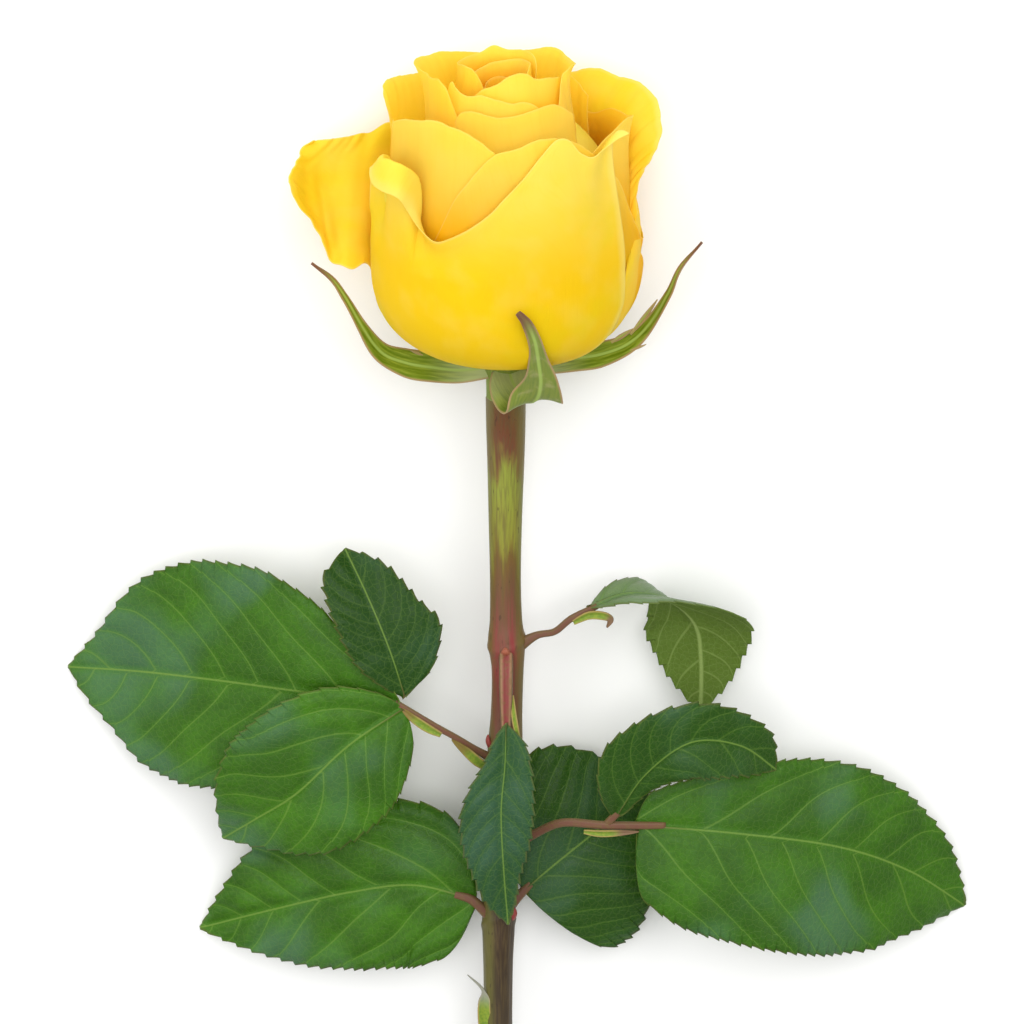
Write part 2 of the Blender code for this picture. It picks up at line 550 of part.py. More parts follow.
def leaf(home, name, pieces, colour, clearance):
    finish = material("leaf_" + name, colour, 0.45)
    return joined(name, pieces, finish, home, [clearance])


UP = (0.0, 0.0, 1.0)
LEAF_GREEN = (0.05, 0.15, 0.02)


def left_compound_leaf(home, clearance):
    pieces = [
        stalk("stalk", [(-3.2, 40.3, 14.2), (-7.0, 42.9, 15.8), (-11.3, 46.1, 17.8),
                        (-15.4, 48.7, 18.8), (-22.5, 53.0, 18.9)], 1.15, 0.85),
        blade("wing", [(-4.6, 39.8, 15.2), (-7.8, 42.4, 16.4), (-11.0, 45.2, 17.4)], [(0.3, -0.5, 1)],
              (1.6, 1.9, 0.7), (0.6, 0.8, 0.5), stations=4, across=3),
        blade("terminal", [(-21.5, 53.0, 18.9), (-38, 54.6, 17.4), (-55, 55.7, 12.6), (-70, 55.9, 6.6),
                           (-83.7, 55.3, 0.8)], [UP, (-0.1, 0, 1), (-0.25, 0, 1)],
              (1.5, 8.0, 14.6, 18.8, 20.6, 20.4, 17.6, 9.4, 0.5),
              (1.5, 9.0, 16.6, 21.4, 22.4, 21.0, 16.8, 7.6, 0.5), fold=0.10, droop=0.005, teeth=11, wave=0.5),
        blade("upper", [(-20.6, 54.0, 18.8), (-23.6, 63.5, 19.0), (-27.6, 73.0, 17.2), (-31.7, 81.0, 13.8)],
              [(0.1, 0, 1), (0.3, 0, 1)], (0.8, 3.8, 6.2, 7.4, 7.7, 7.7, 7.2, 6.0, 0.5),
              (0.8, 6.2, 9.0, 10.5, 8.6, 7.3, 5.9, 3.6, 0.5), fold=0.2, droop=0.006, teeth=8, wave=0.3),
        blade("lower", [(-21.0, 52.0, 19.2), (-31, 45.4, 20.6), (-40.6, 36.0, 19.4), (-48.4, 30.2, 16.4),
                        (-54.7, 25.4, 12.6)], [UP, (-0.1, -0.2, 1)],
              (5.0, 11.0, 13.8, 14.4, 13.4, 11.0, 8.0, 3.6, 0.5),
              (3.0, 9.0, 13.0, 15.4, 15.6, 14.4, 11.0, 5.8, 0.5), fold=0.12, droop=0.006, teeth=9, wave=0.3),
    ]
    return leaf(home, "left_compound_leaf", pieces, LEAF_GREEN, clearance)


def lower_left_leaf(home, clearance):
    pieces = [
        stalk("stalk", [(-4.0, 8.5, 11.9), (-6.0, 11.4, 13.0), (-8.6, 13.8, 13.2), (-11.5, 14.6, 12.8)],
              1.1, 0.8, 6),
        blade("blade", [(-7.6, 13.6, 13.0), (-19, 16.4, 12.6), (-31, 14.6, 11.0), (-45, 10.4, 7.6),
                        (-59.5, 5.2, 2.6)], [UP, (0, 0.05, 1)],
              (7.0, 15.0, 16.0, 16.0, 15.2, 13.8, 11.0, 6.0, 0.5),
              (3.0, 12.0, 15.8, 16.0, 15.4, 14.0, 12.6, 6.8, 0.5), fold=0.14, droop=0.010, teeth=10,
              wave=0.5),
    ]
    return leaf(home, "lower_left_leaf", pieces, LEAF_GREEN, clearance)


def upper_right_leaf(home, clearance):
    pieces = [
        stalk("stalk", [(-0.4, 62.4, 14.6), (3.6, 64.8, 15.0), (7.0, 65.7, 15.5), (10.1, 68.3, 16.0),
                        (14.8, 70.6, 15.8)], 0.95, 0.75),
        blade("blade", [(13.2, 70.3, 15.8), (20.5, 71.4, 15.2), (28.0, 70.2, 13.2), (33.0, 65.6, 10.0),
                        (34.2, 58.0, 7.4), (34.2, 47.9, 5.8)],
              [(0, 1, 0.3), (0.1, 0.9, -0.1), (0.3, 0.8, -0.6), (0.1, 0.4, -0.95), (0, 0.05, -1)],
              (0.8, 3.6, 6.2, 9.6, 11.4, 11.0, 9.0, 6.0, 0.5),
              (0.8, 3.0, 5.4, 8.4, 10.4, 10.4, 8.6, 5.6, 0.5), fold=0.15, droop=0.004, teeth=9, wave=0.2),
    ]
    return leaf(home, "upper_right_leaf", pieces, (0.09, 0.19, 0.05), clearance)


def front_leaf(home, clearance):
    pieces = [
        stalk("stalk", [(-2.0, 62.6, 16.4), (-2.0, 59.4, 18.9), (-2.0, 54.0, 19.6), (-2.0, 48.0, 19.6)],
              1.3, 0.9, 6),
        blade("blade", [(-2.0, 49.5, 20.0), (-2.2, 42.0, 21.8), (-2.9, 33.0, 22.2), (-2.4, 21.0, 20.4),
                        (-1.6, 10.2, 17.6)], [UP], (0.5, 3.7, 4.9, 5.8, 6.0, 5.2, 3.2, 1.9, 0.5),
              (0.5, 2.5, 4.0, 5.9, 7.5, 7.4, 5.8, 3.8, 0.5), fold=0.3, droop=0.02, teeth=8, wave=0.2),
    ]
    return leaf(home, "front_leaf", pieces, (0.03, 0.11, 0.04), clearance)


def right_compound_leaf(home, clearance):
    pieces = [
        stalk("stalk", [(-1.4, 23.6, 13.1), (3.4, 27.0, 15.2), (8.6, 29.7, 17.4), (16.7, 29.5, 18.6),
                        (27.5, 29.3, 17.8)], 1.15, 0.85),
        blade("terminal", [(22.2, 29.4, 18.0), (41, 27.6, 17.4), (59.6, 23.9, 13.2), (73, 17.8, 7.6),
                           (84.2, 9.0, 0.6)], [(0, 0.1, 1), (0.1, 0.25, 1), (0.3, 0.2, 1)],
              (4.0, 9.6, 12.4, 15.0, 15.4, 13.8, 11.0, 6.4, 0.5),
              (8.0, 18.4, 20.2, 21.0, 20.6, 19.0, 15.6, 9.0, 0.5), fold=0.08, droop=0.007, teeth=11,
              wave=0.5),
        blade("side", [(18.0, 31.0, 19.0), (23.6, 40.4, 22.6), (32, 46.8, 23.8), (41.0, 45.6, 21.6),
                       (48.0, 39.6, 16.4)], [(0.2, -0.5, 1), (0.1, -0.1, 1), (0.5, 0.1, 1)],
              (1.4, 6.6, 9.8, 8.9, 7.8, 6.8, 5.6, 4.4, 0.5),
              (0.8, 2.4, 4.2, 6.3, 7.6, 7.4, 6.2, 4.2, 0.5), fold=0.12, droop=0.008, teeth=8, wave=0.2),
        stalk("side_stalk", [(16.4, 29.4, 18.4), (18.6, 32.2, 19.4)], 0.8, 0.7, 3),
    ]
    return leaf(home, "right_compound_leaf", pieces, LEAF_GREEN, clearance)


def back_right_leaf(home, clearance):
    pieces = [
        stalk("stalk", [(-3.0, 8.6, 11.0), (-0.6, 12.0, 9.0), (2.6, 15.6, 8.6)], 1.1, 0.8, 5),
        blade("blade", [(1.2, 14.2, 8.8), (7.0, 19.4, 9.2), (14.0, 25.0, 8.2), (20.0, 29.6, 5.6),
                        (24.4, 33.0, 1.8)], [(0.1, 0, 1), (0.2, 0.1, 1)],
              (2.6, 8.4, 13.4, 17.4, 19.2, 17.6, 13.8, 8.0, 0.5),
              (8.0, 20.0, 21.0, 20.4, 17.8, 13.4, 8.6, 4.0, 0.5), fold=0.06, droop=0.008, teeth=9, wave=0.3),
    ]
    return leaf(home, "back_right_leaf", pieces, (0.04, 0.14, 0.01), clearance)


def main():
    clear_scene()
    home = collection("cut_rose")
    guides = collection("clearances")
    stem(home)
    calyx(home)
    bloom(home)
    clearance = stem_tube("stem_clearance", GAP)
    clearance.hide_render = True
    clearance.display_type = "WIRE"
    guides.objects.link(clearance)
    for grow in (left_compound_leaf, lower_left_leaf, upper_right_leaf, front_leaf,
                 right_compound_leaf, back_right_leaf):
        grow(home, clearance)


main()
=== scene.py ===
"""Dresses a cut rose around its solid model.

The rose lies on a pale floor with its stem along Y and its bloom at +Y, and the camera looks down on it.
Lengths are millimetres until a mesh, a light or the camera is made from them. Every surface is worked out
with numpy as a grid of points, or as rings along a path.
"""

import math

import bpy
import numpy as np
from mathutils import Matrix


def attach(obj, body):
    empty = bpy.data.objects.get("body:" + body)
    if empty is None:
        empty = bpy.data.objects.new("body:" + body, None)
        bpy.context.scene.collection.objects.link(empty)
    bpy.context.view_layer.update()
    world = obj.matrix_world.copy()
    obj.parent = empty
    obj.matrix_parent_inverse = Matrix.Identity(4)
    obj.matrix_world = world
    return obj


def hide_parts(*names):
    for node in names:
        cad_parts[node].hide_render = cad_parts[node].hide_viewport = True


bl_info = {
    "name": "Cut rose",
    "version": (1, 0, 0),
    "blender": (4, 5, 0),
    "location": "3D View > Sidebar > Rose",
    "description": "Petals, calyx, stem and leaves of a cut rose, with its floor, light and camera",
    "category": "Add Mesh",
}

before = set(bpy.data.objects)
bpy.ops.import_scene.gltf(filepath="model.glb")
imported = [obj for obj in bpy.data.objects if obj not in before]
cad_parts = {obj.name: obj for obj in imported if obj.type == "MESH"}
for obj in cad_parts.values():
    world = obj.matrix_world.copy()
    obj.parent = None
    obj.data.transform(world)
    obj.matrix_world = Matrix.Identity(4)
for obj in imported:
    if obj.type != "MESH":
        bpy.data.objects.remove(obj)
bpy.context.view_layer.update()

MM = 0.001
UP = (0.0, 0.0, 1.0)

# the bloom's own frame: its base, the way its axis points, and the way its front faces
BLOOM_BASE = np.array([-2.0, 121.0, 20.6])
BLOOM_RISE = math.radians(13)
AXIS = np.array([0.0, math.cos(BLOOM_RISE), math.sin(BLOOM_RISE)])
FRONT = np.array([0.0, -math.sin(BLOOM_RISE), math.cos(BLOOM_RISE)])
SIDE = np.array([1.0, 0.0, 0.0])

# the cup that the petals build
WIDEST_AT = 20.0     # height above the base where the cup reaches its full radius
FULLNESS = 2.9       # how square the bottom of the cup is: 2 is a ball's
SHOULDER = 28.0      # height where it starts to close again
CLOSING = 0.12       # how far it has closed one closing run further up, as a share
CLOSING_RUN = 26.0

VEIN_STAGGER = 0.22  # how far each half of a leaf has its side veins shifted, as a share of their gap


def linear(hex_colour):
    """An sRGB hex colour as linear red, green and blue."""
    values = [int(hex_colour[i:i + 2], 16) / 255 for i in (1, 3, 5)]
    return tuple(v / 12.92 if v <= 0.04045 else ((v + 0.055) / 1.055) ** 2.4 for v in values)


def colour_setting(name, description, hex_colour):
    return bpy.props.FloatVectorProperty(name=name, description=description, subtype="COLOR", size=3,
                                         min=0.0, max=1.0, default=linear(hex_colour))


def length_setting(name, description, millimetres):
    return bpy.props.FloatProperty(name=name, description=description, unit="LENGTH",
                                   subtype="DISTANCE", default=millimetres * MM, precision=5)


class RoseSizes(bpy.types.PropertyGroup):
    """Sizes that change the rose's finish and not its form."""
    petal: length_setting("Petal thickness", "Thickness of a petal at its middle", 0.42)
    leaf: length_setting("Leaf thickness", "Thickness of a leaf's blade", 0.38)
    tooth: length_setting("Tooth depth", "How far a leaf's teeth stand out", 0.62)
    pitch: length_setting("Tooth pitch", "Distance from one leaf tooth to the next", 2.4)
    streak: length_setting("Petal streak", "Distance between the fine veins of a petal", 0.55)
    net: length_setting("Vein net", "Width of one cell of a leaf's finest veins", 1.15)
    grain: length_setting("Bark grain", "Distance between the fine lines along the stem", 0.35)


class RoseColours(bpy.types.PropertyGroup):
    """The rose's own colours."""
    petal_face: colour_setting("Petal face", "Outer face of the petals", "#FEE654")
    petal_foot: colour_setting("Petal foot", "Greenish foot of the outer petals", "#F4DC14")
    petal_inner: colour_setting("Petal inside", "Inner face of the petals", "#FFEA60")
    # painted shade: a warmer, darker yellow that stands in for the shade deep between the petals; it also
    # tints the fine streaks
    petal_shade_and_streak: colour_setting("Petal depth", "Colour deep between the petals", "#FFCE14")
    petal_rim: colour_setting("Petal rim", "Thin pale edge of the petals", "#FFEC8C")
    wing: colour_setting("Guard petals", "Greenish tinge of the outermost petals", "#E8DC10")
    leaf_dark: colour_setting("Leaf, dark", "Darkest green of a leaf's upper face", "#1E4208")
    leaf_light: colour_setting("Leaf, light", "Lightest green of a leaf's upper face", "#42760E")
    leaf_under: colour_setting("Leaf underside", "Pale underside of a leaf", "#536A22")
    vein: colour_setting("Vein", "Midrib and side veins", "#718F3C")
    stalk_red: colour_setting("Stalk", "Reddish skin of the leaf stalks", "#6A5038")
    sepal_back: colour_setting("Sepal back", "Outer face of the sepals", "#7C8838")
    sepal_inner: colour_setting("Sepal inside", "Inner face of the sepals", "#5C7200")
    pith: colour_setting("Pith", "Middle of the cut end", "#E4E0BE")


def through(values, t):
    """Smooth curve through evenly spaced values or points, read at t from 0 to 1: each span is a cubic
    with the slope at its ends taken from their neighbours."""
    v = np.asarray(values, float)
    t = np.asarray(t, float)
    spans = len(v) - 1
    if spans == 0:
        return v[0] + np.zeros(t.shape + v[0].shape)
    x = np.clip(t, 0, 1) * spans
    i = np.minimum(x.astype(int), spans - 1)
    f = x - i
    slope = np.gradient(v, axis=0)
    f = f.reshape(f.shape + (1,) * (v.ndim - 1))
    rise = 3 * f**2 - 2 * f**3
    return (v[i] * (1 - rise) + v[i + 1] * rise
            + slope[i] * (f**3 - 2 * f**2 + f) + slope[i + 1] * (f**3 - f**2))


def unit(vectors):
    return vectors / np.maximum(np.linalg.norm(vectors, axis=-1, keepdims=True), 1e-9)


def step(low, high, x):
    """Smooth step from 0 at low to 1 at high."""
    t = np.clip((x - low) / (high - low), 0, 1)
    return t * t * (3 - 2 * t)


def in_bloom(side, front, height):
    """World points of places given in the bloom's own frame."""
    return (BLOOM_BASE + np.multiply.outer(side, SIDE)
            + np.multiply.outer(front, FRONT) + np.multiply.outer(height, AXIS))


def shell(grid, above, below):
    """A closed thin wall over a grid of points: the grid moved above and below along its normals, which
    are the cross product of its two directions, and a strip that joins the two along the edges."""
    columns, rows = grid.shape[:2]
    normals = unit(np.cross(np.gradient(grid, axis=0), np.gradient(grid, axis=1)))
    above = np.broadcast_to(above, (columns, rows))[..., None]
    below = np.broadcast_to(below, (columns, rows))[..., None]
    points = np.concatenate([(grid + normals * above).reshape(-1, 3),
                             (grid - normals * below).reshape(-1, 3)])
    index = np.arange(columns * rows).reshape(columns, rows)
    top = np.stack([index[:-1, :-1], index[1:, :-1], index[1:, 1:], index[:-1, 1:]], -1).reshape(-1, 4)
    loop = np.concatenate([index[:, 0], index[-1, 1:], index[-2::-1, -1], index[0, -2:0:-1]])
    ahead = np.roll(loop, -1)
    half = columns * rows
    strip = np.stack([ahead, loop, loop + half, ahead + half], -1)
    return points, np.concatenate([top, top[:, ::-1] + half, strip])


def skin(loops):
    """Closed skin over a stack of rings: quads between the rings, and at both ends a fan of triangles
    from the end ring's middle."""
    count, sides = loops.shape[:2]
    points = np.concatenate([loops.reshape(-1, 3), loops[0].mean(0)[None], loops[-1].mean(0)[None]])
    index = np.arange(count * sides).reshape(count, sides)
    after = np.roll(index, -1, axis=1)
    wall = np.stack([index[:-1], after[:-1], after[1:], index[1:]], -1).reshape(-1, 4)
    first, last = count * sides, count * sides + 1
    low = np.stack([np.full(sides, first), after[0], index[0]], -1)
    high = np.stack([np.full(sides, last), index[-1], after[-1]], -1)
    return points, wall.tolist() + low.tolist() + high.tolist()


def merged(parts):
    """Several (points, faces) pairs as one."""
    points, faces, start = [], [], 0
    for spots, corners in parts:
        points.append(spots)
        faces += [[i + start for i in face] for face in np.asarray(corners, dtype=object).tolist()]
        start += len(spots)
    return np.concatenate(points), faces


def piece(name, points, faces, node, finish, readings=None, flat=None):
    """A finished piece that stands for a node of the model. Readings are values for each point that its
    finish reads, and flat gives each point's place on the flattened surface, in metres."""
    mesh = bpy.data.meshes.new(name)
    faces = faces.tolist() if isinstance(faces, np.ndarray) else faces
    mesh.from_pydata((points * MM).tolist(), [], faces)
    for label, values in (readings or {}).items():
        attribute = mesh.attributes.new(label, "FLOAT", "POINT")
        attribute.data.foreach_set("value", np.asarray(values, np.float32).ravel())
    if flat is not None:
        corner = np.zeros(len(mesh.loops), np.int32)
        mesh.loops.foreach_get("vertex_index", corner)
        mesh.uv_layers.new(name="flat").data.foreach_set("uv", flat[corner].astype(np.float32).ravel())
    mesh.shade_smooth()
    mesh.materials.append(finish)
    made = bpy.data.objects.new(name, mesh)
    bpy.context.scene.collection.objects.link(made)
    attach(made, "root")
    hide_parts(node)
    return made


# materials

SMOOTH = {"interpolation_type": "SMOOTHSTEP"}


def add(tree, kind, *inputs, output=0, **settings):
    """Adds a shader node and gives it its settings. Each input, in its order or as a dictionary names it, is
    set to a value or linked to a socket. Returns one of the node's outputs."""
    node = tree.nodes.new("ShaderNode" + kind)
    for name, value in settings.items():
        setattr(node, name, value)
    named = inputs[0] if inputs and isinstance(inputs[0], dict) else dict(enumerate(inputs))
    for key, value in named.items():
        if isinstance(value, bpy.types.NodeSocket):
            tree.links.new(value, node.inputs[key])
        else:
            node.inputs[key].default_value = value
    return node.outputs[output]


def chained(tree, operation, value, *others):
    """A value with one operation done to it, by each of the others in turn where there are any."""
    for other in others or (0.0,):
        value = add(tree, "Math", value, other, operation=operation)
    return value


def readings(tree, *names):
    """The values that a piece's points carry under these names."""
    return [add(tree, "Attribute", attribute_name=name, output="Fac") for name in names]


def grains(tree, place, size, detail=3.0, stretch=(1, 1, 1), rough=0.5):
    """Noise whose grains are as many millimetres wide as size says, and longer where stretch is under 1."""
    placed = add(tree, "Mapping", {0: place, 3: tuple(share / (size * MM) for share in stretch)})
    return add(tree, "TexNoise", {"Vector": placed, "Scale": 1.0, "Detail": detail, "Roughness": rough})


def paint(colour):
    """A colour as an input takes it: a socket as it is, a hex value or a setting as an opaque colour."""
    if isinstance(colour, bpy.types.NodeSocket):
        return colour
    return (*(linear(colour) if isinstance(colour, str) else colour), 1.0)


def layered(tree, base, *coats):
    """Lays coats of colour over a base. A coat is its colour and its share, or its colour, a value, the two
    ends between which that value brings the coat in, and the coat's shares at these, or else 0 and 1."""
    for colour, *share in coats:
        if len(share) > 1:
            share = [add(tree, "MapRange", *share, **SMOOTH)]
        base = add(tree, "Mix", {0: share[0], 6: paint(base), 7: paint(colour)}, data_type="RGBA", output=2)
    return base


def new_finish(name, **shader):
    """A material whose Principled shader has the given plain settings, and its node tree."""
    made = bpy.data.materials.new(name)
    made.use_nodes = True
    for key, value in shader.items():
        made.node_tree.nodes["Principled BSDF"].inputs[key.replace("_", " ")].default_value = value
    return made, made.node_tree


def dressed(finish, colour, height, depth, strength):
    """Gives a material its colour, and a bump whose height of 0 to 1 stands for a depth in millimetres."""
    tree = finish.node_tree
    surface = tree.nodes["Principled BSDF"]
    bump = add(tree, "Bump", {"Strength": strength, "Distance": depth * MM, "Height": height})
    tree.links.new(colour, surface.inputs["Base Color"])
    tree.links.new(bump, surface.inputs["Normal"])
    return finish


def petal_tissue(colours, sizes, name, foot, tinge, outside, inside, thin=0.5, low=(0, 16)):
    """Rose petal: living tissue of domed cells, which give a velvety matte face, fine veins that fan from
    foot to rim, light that passes through it, and a paler edge. Outside and inside are the heights in the
    bloom, in millimetres, between which the colour of the foot, or the painted shade of the depth, gives
    way to the face's: on inner faces, and on petals that lie deep in the cup, this paints the shade that
    falls deep between the petals. Low gives those heights over which the light that passes through gives
    up its green. Tinge is how far greenish patches show, and thin is the share of the light that passes
    through."""
    finish, tree = new_finish(name, Roughness=0.6, IOR=1.4, Specular_IOR_Level=0.12)
    flat = add(tree, "UVMap", uv_map="flat")
    place = add(tree, "TexCoord", output="Object")
    level, inner, edge = readings(tree, "level", "inner", "edge")
    streak = grains(tree, flat, sizes.streak / MM, 2.0, (1, 0.045, 1))
    cloud = grains(tree, place, 11)
    mottle = grains(tree, place, 6, 2.0)
    cells = grains(tree, place, 0.16, 1.0)
    # painted shade: the inner face is darker low down in the cup, where shade falls between the petals
    inner_face_with_shade = layered(tree, colours.petal_shade_and_streak, (colours.petal_inner, level, *inside))
    rim = chained(tree, "ADD", edge, chained(tree, "MULTIPLY", cloud, 0.5))
    both = layered(tree, foot,
                   (colours.petal_face, level, *outside),
                   (inner_face_with_shade, inner),
                   (colours.wing, cloud, 0.42, 0.72, 0.0, tinge),
                   (colours.petal_shade_and_streak, streak, 0.45, 0.8, 0.0, 0.1),
                   (colours.petal_rim, mottle, 0.4, 0.75, 0.0, 0.1),
                   # the pale edge, which widens into a painted highlight where the rim rolls out
                   (colours.petal_rim, rim, 0.3, 0.75, 0.4, 0.0))
    height = chained(tree, "ADD", streak, chained(tree, "MULTIPLY", cells, 0.25),
                     chained(tree, "MULTIPLY", mottle, 2.5))
    lit = layered(tree, "#C8E000", (layered(tree, both, (colours.petal_rim, 0.35)), level, *low))
    glow = add(tree, "BsdfTranslucent", lit)
    mixed = add(tree, "MixShader", thin, tree.nodes["Principled BSDF"].outputs[0], glow)
    tree.links.new(mixed, tree.nodes["Material Output"].inputs[0])
    return dressed(finish, both, height, 0.16, 0.35)


def leaf_tissue(colours, sizes, name, tone, cast=("#2E5240", 0.0), quilted=1.0, veined=1.0):
    """Rose leaf: a thin waxy skin over dark green tissue, satin above and dull and pale below, with light
    veins sunk into the upper face, a net of finer ones between them, bluish-grey patches of waxy bloom that
    also paint a sheen, and reddish tips to the teeth. Tone is how light the leaf is, where 1 is the lightest.
    Cast is a colour and its share laid over it: a darker tint on some leaves, a painted sheen on others.
    Quilted is how far it bulges between the side veins, and veined is how clearly these show."""
    finish, tree = new_finish(name, Roughness=0.4, IOR=1.45, Specular_IOR_Level=0.2)
    flat = add(tree, "UVMap", uv_map="flat")
    place = add(tree, "TexCoord", output="Object")
    under, rib, edge, along, phase, gap = readings(tree, "under", "rib", "edge", "along", "phase", "gap")
    hand = chained(tree, "SIGN", add(tree, "SeparateXYZ", flat))
    turn = chained(tree, "ADD", phase, chained(tree, "MULTIPLY", hand, VEIN_STAGGER))
    turn = chained(tree, "ABSOLUTE", chained(tree, "SUBTRACT", chained(tree, "FRACT", turn), 0.5))
    vein = chained(tree, "MULTIPLY", chained(tree, "SUBTRACT", 0.5, turn), gap)
    wander = add(tree, "TexNoise", {"Vector": flat, "Scale": 1 / (3 * MM), "Detail": 2.0}, output=1)
    bent = add(tree, "VectorMath", wander, (1.2 * MM, 1.2 * MM, 0.0), operation="MULTIPLY")
    moved = add(tree, "VectorMath", flat, bent, operation="ADD")
    net, fine = [add(tree, "TexVoronoi", {"Vector": moved, "Scale": cells / sizes.net},
                     feature="DISTANCE_TO_EDGE", voronoi_dimensions="2D") for cells in (1, 2.6)]
    net_line = add(tree, "MapRange", net, 0.01, 0.1, 1.0, 0.0, **SMOOTH)
    fine_line = add(tree, "MapRange", fine, 0.02, 0.14, 1.0, 0.0, **SMOOTH)
    side_line = add(tree, "MapRange", vein, 0.05, 0.24, 0.3 * veined, 0.0, **SMOOTH)
    net_vein = chained(tree, "MULTIPLY", net_line, 0.12)
    cloud = grains(tree, place, 9, 4.0)
    speck = grains(tree, flat, 0.9, rough=0.6)
    wax_and_sheen = grains(tree, place, 17, 1.0)
    light = layered(tree, colours.leaf_dark, (colours.leaf_light, tone))
    halo = chained(tree, "MAXIMUM", add(tree, "MapRange", vein, 0.1, 1.1, 0.3, 0.0, **SMOOTH),
                   add(tree, "MapRange", rib, 0.2, 1.6, 0.4, 0.0, **SMOOTH))
    rib_colour = layered(tree, colours.stalk_red, (colours.vein, along, 0.0, 0.18))
    above = layered(tree, colours.leaf_dark,
                    (light, cloud, 0.3, 0.75, 0.35, 1.0),
                    (colours.leaf_dark, speck, 0.35, 0.75, 0.0, 0.35),
                    # bluish-grey patches of waxy bloom, which also paint a sheen on the upper face
                    ("#4C6E5A", wax_and_sheen, 0.48, 0.7, 0.0, 0.45),
                    cast,
                    (light, halo),
                    (colours.vein, net_vein),
                    (colours.vein, chained(tree, "MULTIPLY", fine_line, 0.06)),
                    (colours.vein, side_line),
                    (rib_colour, rib, 0.06, 0.32, 0.62, 0.0),
                    ("#5B5A2A", edge, 0.05, 0.5, 0.5, 0.0))
    lines = chained(tree, "MAXIMUM", side_line, net_vein,
                    add(tree, "MapRange", rib, 0.1, 0.5, 0.7, 0.0, **SMOOTH))
    below = layered(tree, colours.leaf_under, ("#5F7A34", speck, 0.3, 0.75, 0.0, 0.4), ("#90A45E", lines))
    dull = chained(tree, "ADD", add(tree, "MapRange", under, 0.0, 1.0, 0.36, 0.62, **SMOOTH),
                   add(tree, "MapRange", speck, 0.3, 0.7, -0.05, 0.07, **SMOOTH))
    tree.links.new(dull, tree.nodes["Principled BSDF"].inputs["Roughness"])
    sunk = chained(tree, "MAXIMUM", side_line, chained(tree, "MULTIPLY", net_line, 0.4),
                   chained(tree, "MULTIPLY", fine_line, 0.25))
    bulge = chained(tree, "MULTIPLY", add(tree, "MapRange", vein, 0.0, 2.4, **SMOOTH),
                    add(tree, "MapRange", rib, 0.0, 3.0, **SMOOTH), chained(tree, "ADD", 0.5, cloud),
                    1.2 * quilted)
    height = chained(tree, "SUBTRACT", chained(tree, "MULTIPLY", speck, 0.3), sunk)
    height = chained(tree, "ADD", height, bulge)
    return dressed(finish, layered(tree, above, (below, under)), height, 0.22, 0.5)


def sepal_tissue(colours):
    """Sepal: soft matte leaf tissue, grey-green and finely hairy on its back, bright green inside, with
    pinkish margins, a pale midrib and a brown thread of a tip."""
    finish, tree = new_finish("sepal_tissue", Roughness=0.6, IOR=1.42, Specular_IOR_Level=0.18,
                              Sheen_Weight=0.12, Sheen_Roughness=0.4)
    flat = add(tree, "UVMap", uv_map="flat")
    inner, rib, edge, along = readings(tree, "inner", "rib", "edge", "along")
    streak = grains(tree, flat, 0.4, stretch=(1, 0.08, 1))
    cloud = grains(tree, flat, 3)
    back = layered(tree, colours.sepal_back,
                   ("#6C7E34", streak, 0.35, 0.7),
                   ("#A9A272", cloud, 0.5, 0.75, 0.0, 0.45))
    inside = layered(tree, colours.sepal_inner,
                     ("#86962C", streak, 0.35, 0.7),
                     ("#C4CC9A", along, 0.0, 0.3, 0.7, 0.0))
    both = layered(tree, back,
                   (inside, inner),
                   ("#A3BC5E", rib, 0.1, 0.45, 0.7, 0.0),
                   ("#B08A68", edge, 0.05, 0.5, 0.75, 0.0),
                   ("#6B4436", along, 0.82, 0.98, 0.0, 0.9))
    return dressed(finish, both, streak, 0.15, 0.6)


# the bark's colour by how far along the stem it is, from the cut end up
BARK = ((-178, "#525E2C"), (-120, "#586230"), (-60, "#4C462C"), (-14, "#3C3224"), (4, "#382B1C"),
        (22, "#46362A"), (33, "#543E32"), (44, "#704438"), (53, "#6E3A30"), (59, "#763630"),
        (62, "#823634"), (65, "#7A4238"), (71, "#6A4630"), (78, "#6C5426"), (84, "#82802E"),
        (95, "#868E34"), (99, "#745C2C"), (101, "#6C3E28"), (107, "#694023"), (112, "#6A5228"))


